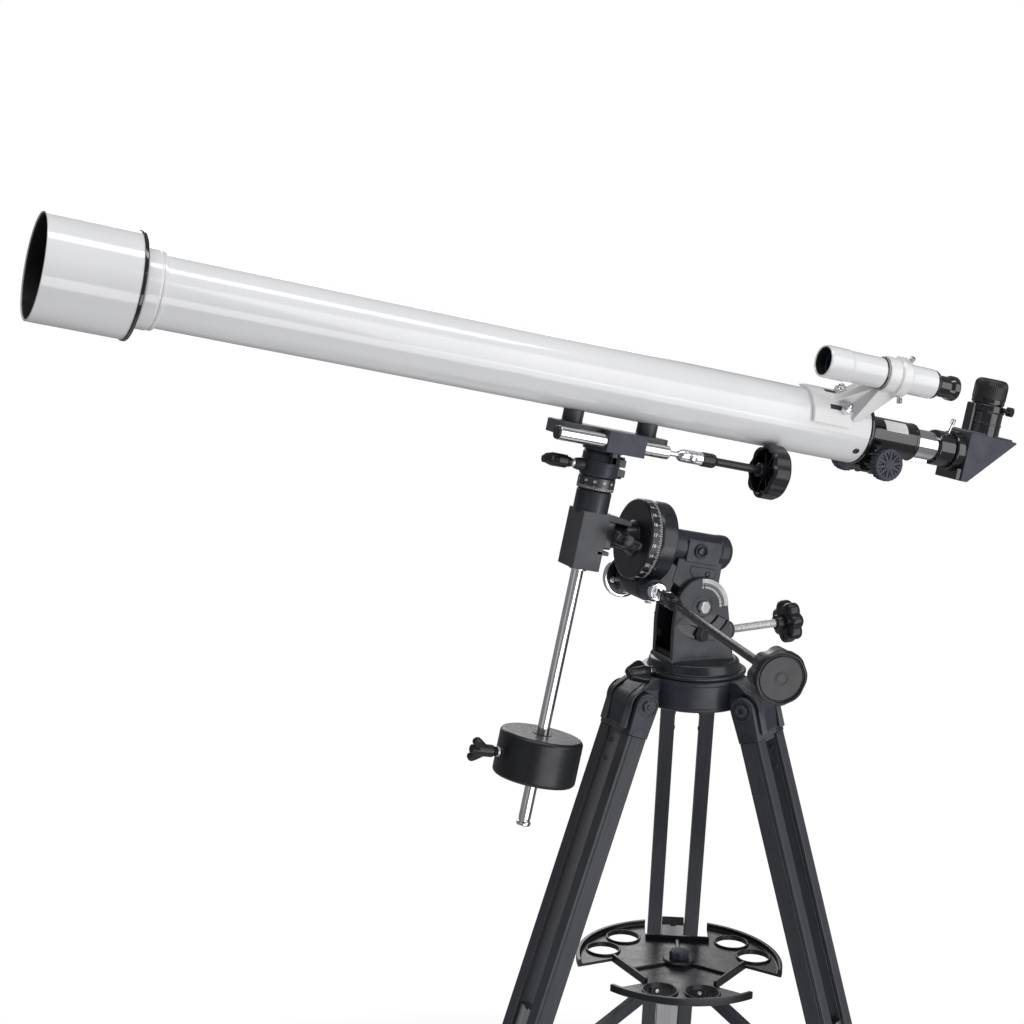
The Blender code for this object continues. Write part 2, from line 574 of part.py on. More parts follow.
def saddle():
    """The plate with its shaft and two posts, and the slow-motion block in front."""
    frame = DECLINATION
    plate_z = 86.6
    outline = [(-59, -11), (-53, -16), (55, -16), (61, -11), (61, 11), (55, 16), (-53, 16), (-59, 11)]
    body = plate(frame, outline, plate_z, 100.2, upright=False)
    fuse(body, rod(frame, (0, 0, DEC_RING_TOP + GAP), (0, 0, plate_z + 3), 20, sides=32))
    for x in (-38.7, 41.4):
        fuse(body, rod(frame, (x, 0, plate_z + 6), (x, 0, TUBE_AXIS_Z - 24), 10.3))
    carve(body, rod(frame, (-90, 0, TUBE_AXIS_Z), (90, 0, TUBE_AXIS_Z), TUBE_R + GAP, sides=32))
    fuse(body, rod(frame, (0, 0, -10), (0, 0, DEC_RING_TOP + 6), 8))
    carve(body, box(frame, (-12.6 - GAP, -40, 70), (28 + GAP, -16, 100.2)))
    part(body, "saddle_plate", "black")
    block = box(frame, (-12.6, -33, 79.5), (28, -16 - GAP, 99.8), 0.8)
    fuse(block, rod(frame, (28 - 2, SCREW_Y, SCREW_AXIS_Z), (55, SCREW_Y, SCREW_AXIS_Z), 6.5))
    carve(block, box(frame, (-7, -29.5, 70), (7, -10, 97)))
    carve(block, rod(frame, (0, SCREW_Y, SCREW_AXIS_Z), (60, SCREW_Y, SCREW_AXIS_Z), 2.9, sides=12))
    carve(block, rod(frame, (-20, SCREW_Y, SCREW_AXIS_Z), (0, SCREW_Y, SCREW_AXIS_Z), 3.4, sides=12))
    part(block, "saddle_block", "black")
    barrel = rod(frame, (-64.5, SCREW_Y, SCREW_AXIS_Z), (-12.6 - GAP, SCREW_Y, SCREW_AXIS_Z), 6.75)
    fuse(barrel, rod(frame, (-14, SCREW_Y, SCREW_AXIS_Z), (-6.5, SCREW_Y, SCREW_AXIS_Z), 3, sides=12))
    part(barrel, "dec_spring_barrel", "chrome")


def dec_control():
    """The tangent screw with its coupling, shaft and hand knob."""
    line = empty("dec_control_axis", DECLINATION, (0, SCREW_Y, SCREW_AXIS_Z), (0, 90, 0))
    knob_frame = empty("dec_control_knob_frame", line, (0, 0, 160))
    control = lobed(knob_frame, 26, 24, lobes=8)
    fuse(control, rod(line, (0, 0, 6.8), (0, 0, 70), 2.5, sides=12))
    fuse(control, rod(line, (0, 0, 67), (0, 0, 107), 6.4))
    fuse(control, rod(line, (0, 0, 100), (0, 0, 162), 4, sides=16))
    part(control, "dec_control", "black")


def counterweight():
    frame = DECLINATION
    shaft = rod(frame, (0, 0, SHAFT_END), (0, 0, -16.5), SHAFT_R, sides=20)
    fuse(shaft, rod(frame, (0, 0, SHAFT_END), (0, 0, SHAFT_END + 4), 7, sides=20))
    part(shaft, "counterweight_shaft", "chrome")
    edge = 3
    weight = turned(frame, [(WEIGHT_R - edge, WEIGHT_TOP), (WEIGHT_R, WEIGHT_TOP - edge),
                            (WEIGHT_R, WEIGHT_BOTTOM + edge), (WEIGHT_R - edge, WEIGHT_BOTTOM),
                            (SHAFT_R + GAP, WEIGHT_BOTTOM), (SHAFT_R + GAP, WEIGHT_TOP)],
                    ring=True, steps=28)
    knob_z = (WEIGHT_TOP + WEIGHT_BOTTOM) / 2
    carve(weight, rod(frame, (-60, 0, knob_z), (-SHAFT_R, 0, knob_z), 3.4, sides=16))
    part(weight, "counterweight", "black")
    knob_frame = empty("counterweight_knob_axis", frame, (0, 0, knob_z), (0, 0, 180))
    knob = wing(knob_frame, 47, 72, 12, 8)
    fuse(knob, rod(knob_frame, (SHAFT_R + 0.8, 0, 0), (50, 0, 0), 3, sides=16))
    part(knob, "counterweight_knob", "black")


# ---------------------------------------------------------------- optical tube

TUBE = empty("tube_axis", DECLINATION, (0, 0, TUBE_AXIS_Z))


def tube():
    inner = TUBE_R - TUBE_WALL
    part(turned(TUBE, [(TUBE_R, TUBE_REAR), (TUBE_R, TUBE_FRONT), (inner, TUBE_FRONT), (inner, TUBE_REAR)],
                ring=True, steps=32, axis="X"), "main_tube", "white")
    part(turned(TUBE, [(CELL_R, CELL_REAR), (CELL_R, CELL_FRONT), (28, CELL_FRONT), (28, CELL_FRONT + 4),
                       (30.8, CELL_FRONT + 4), (30.8, TUBE_FRONT - 2), (27, TUBE_FRONT - 2),
                       (27, TUBE_FRONT - GAP), (TUBE_R + GAP, TUBE_FRONT - GAP),
                       (TUBE_R + GAP, CELL_REAR)], ring=True, steps=24, axis="X"), "lens_cell", "white")
    lens_front, lens_rear = CELL_FRONT + 4 + GAP, TUBE_FRONT - 2 - GAP
    mid = (lens_front + lens_rear) / 2
    part(turned(TUBE, [(0, lens_rear), (20, lens_rear), (30.4, lens_rear), (30.4, mid - 7), (22, lens_front + 2),
                       (0, lens_front)], steps=32, axis="X"), "objective_lens", "glass")
    part(turned(TUBE, [(SHIELD_R + 1, SHIELD_REAR), (SHIELD_R + 1, SHIELD_REAR - 3), (SHIELD_R, SHIELD_REAR - 3),
                       (SHIELD_R, SHIELD_FRONT), (SHIELD_R - 1.6, SHIELD_FRONT), (SHIELD_R - 1.6, SHIELD_REAR - 5),
                       (CELL_R + GAP, SHIELD_REAR - 5), (CELL_R + GAP, SHIELD_REAR)],
                ring=True, steps=32, axis="X"), "dew_shield", "white")


def focuser():
    """Housing with its pinion block, the two-knob pinion and the draw tube."""
    flange = TUBE_R + 1
    plug = TUBE_R - TUBE_WALL - GAP
    rear = TUBE_REAR + GAP
    body = turned(TUBE, [(0, FOCUSER_REAR), (FOCUSER_R, FOCUSER_REAR), (FOCUSER_R, rear + 6), (flange - 6, rear + 3.5),
                         (flange, rear + 3.5), (flange, rear), (plug, rear), (plug, rear - 14),
                         (0, rear - 14)], steps=28, axis="X")
    fuse(body, box(TUBE, (PINION_X - 14, -14, PINION_Z - 9), (PINION_X + 26, 14, -12), 1.5))
    carve(body, rod(TUBE, (rear - 20, 0, 0), (FOCUSER_REAR + 5, 0, 0), DRAW_R + GAP, sides=40))
    carve(body, rod(TUBE, (PINION_X, -30, PINION_Z), (PINION_X, 30, PINION_Z), 3.4, sides=16))
    carve(body, rod(TUBE, (PINION_X, -7, PINION_Z), (PINION_X, 7, PINION_Z), 7.4, sides=20))
    part(body, "focuser_housing", "black")
    frame = empty("focus_axis", TUBE, (PINION_X, 0, PINION_Z))
    knobs = rod(frame, (0, -43, 0), (0, 43, 0), 3, sides=16)
    fuse(knobs, rod(frame, (0, -6, 0), (0, 6, 0), 6, sides=20))
    for near, far in ((-43, -30), (30, 43)):
        fuse(knobs, rod(frame, (0, near, 0), (0, far, 0), 16.5, sides=20))
    part(knobs, "focus_knobs", "black")
    bore = 13.4
    draw = turned(TUBE, [(18, DRAW_END), (18, DRAW_REAR), (DRAW_R, DRAW_REAR), (DRAW_R, DRAW_FRONT),
                         (bore, DRAW_FRONT), (bore, DRAW_END)], ring=True, steps=28, axis="X")
    rack = box(TUBE, (DRAW_FRONT + 5, -4, -19.2), (DRAW_REAR - 5, 4, -14))
    slot = box(TUBE, (rear - 20, -4.4, -19.6), (FOCUSER_REAR + 5, 4.4, -12))
    carve(body, slot)
    fuse(draw, rack)
    part(draw, "draw_tube", "chrome")


def diagonal():
    """The star diagonal: a triangular case, its mirror and the eyepiece standing in it."""
    collar_start = DRAW_END + GAP
    side = [(DIAGONAL_X - 3, 22.7), (457, 21.5), (DIAGONAL_X + 4, -28.2), (DIAGONAL_X - 3, -28.2)]
    body = plate(TUBE, side, -20, 20)
    fuse(body, rod(TUBE, (collar_start, 0, 0), (collar_start + 9.5, 0, 0), 21, sides=32))
    fuse(body, rod(TUBE, (collar_start, 0, 0), (DIAGONAL_X, 0, 0), 19, sides=32))
    fuse(body, rod(TUBE, (collar_start - 22, 0, 0), (DIAGONAL_X, 0, 0), 13, sides=32))
    fuse(body, rod(TUBE, (EYEPIECE_X, 0, 15), (EYEPIECE_X, 0, 54), 18, sides=32))
    fuse(body, rod(TUBE, (EYEPIECE_X, 0, 46), (EYEPIECE_X, 0, 54), 19, sides=32))
    carve(body, rod(TUBE, (collar_start - 25, 0, 0), (EYEPIECE_X, 0, 0), 11.5))
    carve(body, rod(TUBE, (EYEPIECE_X, 0, 21), (EYEPIECE_X, 0, 60), 16.0, sides=32))
    hollow = [(DIAGONAL_X + 1, 18), (446, 18), (DIAGONAL_X + 7.5, -20), (DIAGONAL_X + 1, -20)]
    carve(body, plate(TUBE, hollow, -15.5, 15.5))
    carve(body, rod(TUBE, (EYEPIECE_X, 0, 10), (EYEPIECE_X, 0, 30), 12))
    part(body, "diagonal_body", "black")
    slope = atan2(38.0, 38.5)
    mirror_frame = empty("mirror_frame", TUBE, (425.6, 0, -0.6))
    mirror_frame.rotation_euler = (0, -slope, 0)
    part(box(mirror_frame, (-19, -14.5, 0), (19, 14.5, 2)), "diagonal_mirror", "glass")
    eyepiece = turned(TUBE, [(0, 81), (12, 81), (16, 78.5), (17, 75), (17, 54.5), (15.8, 54.5),
                             (15.8, 24), (0, 24)], steps=20, place=(EYEPIECE_X, 0, 0))
    part(eyepiece, "eyepiece", "black")


def finder():
    """The finder scope and the bracket that holds it in a ring."""
    frame = empty("finder_frame", TUBE, turn=(FINDER_TURN, 0, 0))
    axis = (0, 0, FINDER_R)
    scope = turned(frame, [(14.5, 316), (14.8, 284), (15.3, 283), (15.3, 222), (16, 218), (15.2, 188),
                           (13.4, 188), (13.4, 316)], ring=True, axis="X", place=axis)
    part(scope, "finder_tube", "white")
    ocular = turned(frame, [(0, 345), (11.6, 345), (12, 343), (12, 338), (10.5, 336), (10.5, 319), (14, 319),
                            (14, 316.5), (12.9, 316.5), (12.9, 300), (0, 300)], steps=20, axis="X", place=axis)
    part(ocular, "finder_eyepiece", "black")
    part(turned(frame, [(0, 204), (13, 203), (13, 200), (0, 196.5)], axis="X", place=axis),
         "finder_lens", "glass")
    base = rod(frame, (200, 0, 0), (243, 0, 0), 37, sides=32)
    carve(base, box(frame, (190, -50, -50), (260, 50, 24)))
    arm = [(224, 35), (243, 35), (281, FINDER_R - 15), (257, FINDER_R - 15)]
    fuse(base, plate(frame, arm, -12, 12))
    fuse(base, rod(frame, (257, 0, FINDER_R), (270, 0, FINDER_R), 17.5, sides=32))
    fuse(base, rod(frame, (269, 0, FINDER_R), (281, 0, FINDER_R), 19.5, sides=32))
    carve(base, rod(frame, (150, 0, 0), (320, 0, 0), TUBE_R + GAP, sides=32))
    carve(base, rod(frame, (240, 0, FINDER_R), (320, 0, FINDER_R), 15.9, sides=32))
    part(base, "finder_bracket", "white")


# ---------------------------------------------------------------- assembly

def stand_on_floor():
    """Move the whole model so that its box stands on the origin, centred in X and Y."""
    bpy.context.view_layer.update()
    graph = bpy.context.evaluated_depsgraph_get()
    corners = []
    for made in PARTS.objects:
        if made.type != "MESH":
            continue
        shown = made.evaluated_get(graph)
        mesh = shown.to_mesh()
        corners += [shown.matrix_world @ v.co for v in mesh.vertices]
        shown.to_mesh_clear()
    low = [min(c[i] for c in corners) for i in range(3)]
    high = [max(c[i] for c in corners) for i in range(3)]
    ORIGIN.location = (-(low[0] + high[0]) / 2, -(low[1] + high[1]) / 2, -low[2])


tripod_hub()
for leg_number, leg_azimuth in enumerate(LEG_AZIMUTHS, 1):
    leg(leg_number, leg_azimuth)
spreader()
azimuth_base()
azimuth_lock_knob()
latitude_bolt()
altitude_screw()
polar_housing()
ra_drive()
dec_housing()
ra_clamp_knob()
dec_clutch()
saddle()
dec_control()
counterweight()
tube()
focuser()
diagonal()
finder()
stand_on_floor()
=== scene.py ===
"""Looks of the small refracting telescope on its equatorial mount and tripod.

Shapes are drawn in millimetres in the frames of the mount's own joints, then scaled.
"""
import json
from math import atan2, cos, degrees, hypot, pi, radians, sin, tau

import bmesh
import bpy
from mathutils import Euler, Matrix, Vector


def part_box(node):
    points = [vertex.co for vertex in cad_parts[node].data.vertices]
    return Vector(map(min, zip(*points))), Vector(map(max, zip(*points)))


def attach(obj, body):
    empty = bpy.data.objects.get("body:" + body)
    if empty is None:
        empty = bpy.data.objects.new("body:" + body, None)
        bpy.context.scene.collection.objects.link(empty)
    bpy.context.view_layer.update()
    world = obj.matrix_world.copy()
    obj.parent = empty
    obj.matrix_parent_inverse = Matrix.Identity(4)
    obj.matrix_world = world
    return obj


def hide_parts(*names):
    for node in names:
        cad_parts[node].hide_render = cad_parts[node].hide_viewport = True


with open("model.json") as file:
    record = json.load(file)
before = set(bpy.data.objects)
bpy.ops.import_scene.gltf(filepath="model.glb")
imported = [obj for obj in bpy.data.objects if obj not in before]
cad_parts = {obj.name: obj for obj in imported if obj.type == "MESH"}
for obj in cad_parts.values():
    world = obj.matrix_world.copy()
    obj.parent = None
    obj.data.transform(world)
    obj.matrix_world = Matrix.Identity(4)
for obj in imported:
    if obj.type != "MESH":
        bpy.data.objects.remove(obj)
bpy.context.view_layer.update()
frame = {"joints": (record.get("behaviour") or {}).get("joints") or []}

MM = 0.001
SCENE = bpy.context.scene
JOINTS = {j["name"]: j for j in frame["joints"]}
UP, SIDE = Vector((0, 0, 1)), Vector((0, 1, 0))
LEGS = (1, 2, 3)
SIDES = (-1, 1)


# ---- frames

def axis(joint):
    return Vector(JOINTS[joint]["axis"]).normalized()


def point(joint):
    return Vector(JOINTS[joint]["pos_m"])


def basis(origin, **axes):
    """A frame at a point in metres from two of its axes; the first is kept exactly."""
    (first, u), (second, v) = axes.items()
    u, v = Vector(u).normalized(), Vector(v)
    v = (v - u * u.dot(v)).normalized()
    found = {first: u, second: v}
    third = (set("xyz") - set(found)).pop()
    before, after = {"x": "yz", "y": "zx", "z": "xy"}[third]
    found[third] = found[before].cross(found[after])
    turn = Matrix([found[a] for a in "xyz"]).transposed()
    return Matrix.Translation(origin) @ turn.to_4x4()


def turn_matrix(turn):
    """A rotation from angles in degrees."""
    return Euler([radians(a) for a in turn]).to_matrix().to_4x4()


def moved(base, place=(0, 0, 0), turn=(0, 0, 0)):
    """A frame shifted by millimetres and turned by degrees inside another."""
    return base @ Matrix.Translation(Vector(place) * MM) @ turn_matrix(turn)


HUB = basis(point("azimuth_turn"), z=UP, x=(1, 0, 0))
PIVOT = basis(point("latitude_tilt"), z=UP, y=SIDE)
POLAR = basis(point("ra_axis"), x=axis("ra_axis"), y=SIDE)
WORM = basis(point("ra_worm_turn"), y=SIDE, x=axis("ra_axis"))
DEC = basis(point("dec_axis"), z=axis("dec_axis"), y=SIDE)
TUBE = basis(point("diagonal_turn"), x=axis("diagonal_turn"), y=SIDE)
FINDER = moved(moved(TUBE, turn=(38, 0, 0)), (0, 0, 78))
FOCUS = basis(point("focus_knob_turn"), y=SIDE, x=axis("diagonal_turn"))
SCREW = basis(point("altitude_knob_turn"), x=-axis("altitude_knob_turn"), y=SIDE)
RA_CONTROL = basis(point("ra_control_turn"), z=-axis("ra_control_turn"), x=(1, 0, 0))
DEC_CONTROL = basis(point("dec_control_turn"), z=axis("dec_control_turn"), y=SIDE)
RA_CLAMP = basis(point("ra_clamp_turn"), x=axis("ra_clamp_turn"), z=axis("dec_axis"))
DEC_CLAMP = basis(point("dec_clamp_turn"), x=axis("dec_clamp_turn"), z=axis("dec_axis"))
WEIGHT = basis(point("counterweight_lock_turn"), z=axis("dec_axis"), y=SIDE)
WEIGHT_LOCK = basis(point("counterweight_lock_turn"), x=axis("counterweight_lock_turn"),
    z=axis("dec_axis"))
AZIMUTH_LOCK = basis(point("azimuth_lock_turn"), x=axis("azimuth_lock_turn"), z=UP)
LEG = {i: basis(point(f"leg_{i}_fold"), z=-axis(f"leg_{i}_extend"),
    y=axis(f"leg_{i}_fold")) for i in LEGS}
OUTWARD = {i: axis(f"leg_{i}_fold").cross(UP) for i in LEGS}
BEARING = {i: degrees(atan2(OUTWARD[i].y, OUTWARD[i].x)) for i in LEGS}
SPREADER = moved(HUB)
SPREADER.translation.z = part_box("spreader_hub")[0].z + 9 * MM


# ---- materials

UNNAMED = {"a": 0, "b": 1, "c": 2, "light": 6, "dark": 7}


def feed(tree, shader, inputs):
    """Set or join the inputs of a shader node."""
    for key, value in inputs.items():
        socket = shader.inputs[UNNAMED.get(key, key.replace("_", " "))]
        if isinstance(value, bpy.types.NodeSocket):
            tree.links.new(value, socket)
        else:
            socket.default_value = value


def node(tree, kind, out=0, **inputs):
    """One output of a new shader node."""
    made = tree.nodes.new("ShaderNode" + kind)
    for option in ("operation", "data_type"):
        if option in inputs:
            setattr(made, option, inputs.pop(option))
    feed(tree, made, inputs)
    return made.outputs[out]


def mix(tree, amount, light, dark):
    return node(tree, "Mix", 2, data_type="RGBA", Factor=amount, light=light, dark=dark)


def node_material(name):
    made = bpy.data.materials.new(name)
    made.use_nodes = True
    return made, made.node_tree


def finish(name, light, dark, rough, grain, bump, patch, metal=0.0, stretch=(1, 1, 1), wear=0.0,
        **sockets):
    """A material whose tone and gloss drift over patches and whose relief has a grain, both in mm."""
    made, tree = node_material(name)
    place = node(tree, "Mapping", Vector=node(tree, "TexCoord", "Object"), Scale=stretch)
    drift = node(tree, "TexNoise", Vector=place, Scale=1 / (patch * MM), Detail=4.0)
    fine = node(tree, "TexNoise", Vector=place, Scale=1 / (grain * MM), Detail=3.0, Roughness=0.6)
    tone = mix(tree, node(tree, "MapRange", Value=drift, From_Min=0.3, From_Max=0.7), light, dark)
    if wear:
        edge = node(tree, "NewGeometry", "Pointiness")
        scratch = node(tree, "TexNoise", Vector=place, Scale=700.0, Detail=6.0)
        edge = node(tree, "Math", operation="MULTIPLY_ADD", a=scratch, b=0.05, c=edge)
        edge = node(tree, "MapRange", Value=edge, From_Min=0.545, From_Max=0.60, To_Max=wear)
        tone = mix(tree, edge, tone, tuple(c * 0.25 + 0.16 for c in light[:3]) + (1,))
    gloss = node(tree, "Math", operation="ADD", a=drift, b=fine)
    gloss = node(tree, "MapRange", Value=gloss, From_Min=0.75, From_Max=1.25, To_Min=rough[0],
        To_Max=rough[1])
    relief = node(tree, "Bump", Height=fine, Strength=bump, Distance=0.12 * MM)
    feed(tree, tree.nodes["Principled BSDF"], dict(Metallic=metal, Base_Color=tone, Roughness=gloss,
        Normal=relief, **sockets))
    return made


def grey(value, cool=0.0):
    return (value, value * (1 + cool * 0.15), value * (1 + cool), 1)


PAINT = finish("black_paint", grey(0.035, 0.42), grey(0.026, 0.4), (0.27, 0.42), 0.45, 0.22, 22, wear=0.4,
    Specular_IOR_Level=0.32)
# glossier black of the turned drums; on the inner cheek plates the same darker black is painted shade on
# the latitude slots' recess floor
DRUM_PAINT_AND_SHADE = finish("black_drum_paint_and_recess_shade", grey(0.019, 0.4), grey(0.012, 0.36), (0.20, 0.33), 0.5, 0.12, 26,
    wear=0.3, Specular_IOR_Level=0.45)
PLASTIC = finish("black_plastic", grey(0.015, 0.32), grey(0.010, 0.32), (0.22, 0.34), 0.3, 0.16, 14,
    Specular_IOR_Level=0.42)
SOFT = finish("matt_black_plastic", grey(0.066, 0.4), grey(0.052, 0.38), (0.46, 0.6), 0.22, 0.35, 16,
    Specular_IOR_Level=0.35)
GLOSS = finish("gloss_black", grey(0.014, 0.2), grey(0.009, 0.2), (0.07, 0.15), 2.5, 0.03, 25,
    Coat_Weight=0.6, Coat_Roughness=0.05)
RAIL = finish("black_rail", grey(0.034, 0.4), grey(0.022, 0.36), (0.28, 0.42), 0.35, 0.18, 20,
    stretch=(1, 1, 0.05), wear=0.3, Specular_IOR_Level=0.32)
IRON = finish("black_iron", grey(0.016, 0.34), grey(0.009, 0.3), (0.26, 0.4), 0.9, 0.5, 24, wear=0.35,
    Specular_IOR_Level=0.4)
# flat black of the tubes' real inner surfaces; on the base's inner ribs and rear block it is painted shade
INNER_BLACK_AND_SHADE = finish("inner_black_and_painted_shade", grey(0.014), grey(0.007), (0.55, 0.7), 0.3, 0.3, 12)
WHITE = finish("white_paint", grey(0.83, 0.012), grey(0.79, 0.015), (0.10, 0.17), 3.0, 0.035, 70,
    Coat_Weight=0.5, Coat_Roughness=0.06)
PEARL = finish("white_plastic", grey(0.84, 0.005), grey(0.80, -0.01), (0.16, 0.26), 1.2, 0.06, 30,
    Coat_Weight=0.3, Coat_Roughness=0.1)
CHROME = finish("chrome", grey(0.86, 0.02), grey(0.74, 0.03), (0.05, 0.12), 0.8, 0.03, 18, 1.0)
BRIGHT = finish("turned_chrome", grey(0.84, 0.02), grey(0.72, 0.03), (0.10, 0.2), 0.25, 0.12, 12, 1.0)
ZINC = finish("zinc", (0.76, 0.80, 0.84, 1), (0.80, 0.79, 0.74, 1), (0.22, 0.36), 0.35, 0.2, 5, 0.55)
ALLOY = finish("leg_alloy", grey(0.60, 0.02), grey(0.50, 0.03), (0.24, 0.38), 0.3, 0.2, 18, 1.0,
    (1, 1, 0.03))
DIAL = finish("scale_band", grey(0.10, 0.06), grey(0.07, 0.06), (0.28, 0.42), 0.25, 0.15, 8, 0.85)
ARC = finish("pale_scale_arc", grey(0.42, 0.02), grey(0.35, 0.02), (0.3, 0.42), 0.25, 0.1, 8, 0.25)
BRASS = finish("brass", (0.74, 0.55, 0.26, 1), (0.60, 0.42, 0.18, 1), (0.2, 0.34), 0.3, 0.15, 9, 1.0)
RUBBER = finish("rubber", grey(0.018, 0.1), grey(0.011, 0.1), (0.34, 0.5), 0.35, 0.4, 9)
INK = finish("white_ink", grey(0.80), grey(0.62), (0.4, 0.55), 0.2, 0.1, 4)
# painted shade: dark strips that stand for the shadow in the finder bracket's nut slots
SHADE = finish("painted_slot_shade", grey(0.02), grey(0.035), (0.4, 0.55), 0.2, 0.1, 4)
LABEL = finish("plain_label", grey(0.78), grey(0.68), (0.25, 0.35), 0.6, 0.05, 6)
GLASS = finish("coated_glass", (0.80, 0.92, 0.90, 1), (0.74, 0.86, 0.92, 1), (0.0, 0.02), 8, 0.005, 40,
    Transmission_Weight=1.0, IOR=1.52, Coat_Weight=1.0, Coat_Tint=(0.62, 0.75, 1.0, 1))
MIRROR = finish("mirror", grey(0.86), grey(0.8), (0.02, 0.05), 5, 0.005, 30, 1.0)


# ---- outlines

def oblong(x0, y0, x1, y1):
    return [(x0, y0), (x1, y0), (x1, y1), (x0, y1)]


def arc(centre, radius, start, end, points=12):
    angles = [radians(start + (end - start) * i / (points - 1)) for i in range(points)]
    return [(centre[0] + radius * cos(a), centre[1] + radius * sin(a)) for a in angles]


def link_bar(x0, x1, radius, points):
    """A long hole or bar with round ends."""
    return arc((x1, 0), radius, 90, -90, points) + arc((x0, 0), radius, 270, 90, points)


def mirrored(half, middle=()):
    """Half an outline, what lies on the mirror line, and the half's image across Y = 0."""
    return [*half, *middle, *((x, -y) for x, y in reversed(half))]


def rounded(points, radius, closed=True, steps=3):
    """The same outline with a short curve in place of each corner."""
    drawn, last = [], len(points) - 1
    for i, here in enumerate(points):
        corner = Vector(here)
        back, ahead = Vector(points[i - 1]) - corner, Vector(points[(i + 1) % (last + 1)]) - corner
        reach = min(radius, back.length * 0.45, ahead.length * 0.45)
        end_point = not closed and i in (0, last)
        if end_point or reach < 0.02 or abs(back.angle(ahead) - pi) < 0.12:
            drawn.append(tuple(here))
            continue
        start, end = corner + back.normalized() * reach, corner + ahead.normalized() * reach
        for k in range(steps + 1):
            t = k / steps
            drawn.append(tuple(start * (1 - t) ** 2 + corner * (2 * t * (1 - t)) + end * t ** 2))
    return drawn


# ---- solids

def knurl(depth, count, beyond, above=-1000):
    """A warp that sinks soft grooves into what lies beyond a radius and above a height."""
    return lambda r, z, a: r - (depth * (0.5 + 0.5 * cos(count * a)) if r > beyond and z > above else 0)


def turned(profile, soft=0.5, steps=64, along="z", warp=None, ring=False):
    """A (radius, height) profile spun about an axis. warp(radius, height, angle) bends the radius."""
    points = rounded(profile, soft, ring) if soft else profile
    bm = bmesh.new()
    rows = []
    for r, z in points:
        if r < 0.001:
            rows.append([bm.verts.new((0, 0, z))] * steps)
            continue
        row = []
        for k in range(steps):
            a = tau * k / steps
            out = warp(r, z, a) if warp else r
            row.append(bm.verts.new((out * cos(a), out * sin(a), z)))
        rows.append(row)
    for one, two in zip(rows, rows[1:] + rows[:1] if ring else rows[1:]):
        for k in range(steps):
            corners = (one[k], one[(k + 1) % steps], two[(k + 1) % steps], two[k])
            corners = list(dict.fromkeys(corners))
            if len(corners) > 2:
                bm.faces.new(corners)
    if along == "x":
        bm.transform(Matrix.Rotation(pi / 2, 4, "Y"))
    elif along == "y":
        bm.transform(Matrix.Rotation(-pi / 2, 4, "X"))
    bmesh.ops.recalc_face_normals(bm, faces=bm.faces)
    return bm


def hoop(profile, soft=0.5, steps=64, along="z", warp=None):
    """A closed profile spun about an axis."""
    return turned(profile, soft, steps, along, warp, ring=True)


def band(inner, outer, low, high, soft=0.5, steps=64, along="z"):
    """A plain ring."""
    return hoop(oblong(inner, low, outer, high), soft, steps, along)


def disc(radius, low, high, soft=0.5, steps=64, along="z", warp=None):
    """A short solid cylinder."""
    return turned(oblong(0, low, radius, high), soft, steps, along, warp)


def threaded(radius, start, end, pitch=1.25, steps=24):
    """A bar along X with a cut thread, as fine ridges."""
    count = max(2, int((end - start) / pitch))
    profile = [(0, start), (radius * 0.84, start)]
    for k in range(count):
        z = start + (end - start) * (k + 0.5) / count
        profile += [(radius, z - pitch * 0.12), (radius, z + pitch * 0.12),
            (radius * 0.86, z + pitch * 0.5)]
    return turned(profile + [(radius * 0.84, end), (0, end)], 0, steps, "x")


def soften(bm, width, segments=2):
    edges = [e for e in bm.edges if e.is_manifold and e.calc_face_angle(0) > radians(28)]
    if width and edges:
        bmesh.ops.bevel(bm, geom=edges, offset=width, segments=segments, profile=0.5, affect="EDGES",
            clamp_overlap=True)
    return bm


def block(one, two, bevel=0.6, segments=2):
    """A box between two opposite corners."""
    low, high = (Vector(map(pick, one, two)) for pick in (min, max))
    bm = bmesh.new()
    size = Matrix.Diagonal((*(high - low), 1))
    bmesh.ops.create_cube(bm, size=1.0, matrix=Matrix.Translation((low + high) / 2) @ size)
    return soften(bm, bevel, segments)


def rod(start, end, radius, soft=0.4, steps=32):
    """A round bar between two points."""
    start, end = Vector(start), Vector(end)
    bm = disc(radius, 0, (end - start).length, soft, steps)
    turn = UP.rotation_difference((end - start).normalized()).to_matrix().to_4x4()
    bm.transform(Matrix.Translation(start) @ turn)
    return bm


def plate(outline, one, two, bevel=0.8, holes=(), flat=False):
    """A flat outline with rounded rims and holes, standing in X and Z or lying flat in X and Y."""
    near, far = sorted((one, two))
    curve = bpy.data.curves.new("outline", "CURVE")
    curve.dimensions, curve.fill_mode = "2D", "BOTH"
    curve.extrude = (far - near) / 2 - bevel
    curve.bevel_depth, curve.bevel_resolution, curve.offset = bevel, 2, -bevel
    for loop in (outline, *holes):
        spline = curve.splines.new("POLY")
        spline.points.add(len(loop) - 1)
        for p, (x, y) in zip(spline.points, loop):
            p.co = (x, y, 0, 1)
        spline.use_cyclic_u = True
    bm = as_bmesh(bpy.data.objects.new("outline", curve))
    bmesh.ops.remove_doubles(bm, verts=bm.verts, dist=0.002)
    bmesh.ops.dissolve_degenerate(bm, edges=bm.edges, dist=0.001)
    middle = (near + far) / 2
    if flat:
        bm.transform(Matrix.Translation((0, 0, middle)))
    else:
        bm.transform(Matrix.Translation((0, middle, 0)) @ Matrix.Rotation(pi / 2, 4, "X"))
    bmesh.ops.recalc_face_normals(bm, faces=bm.faces)
    return bm


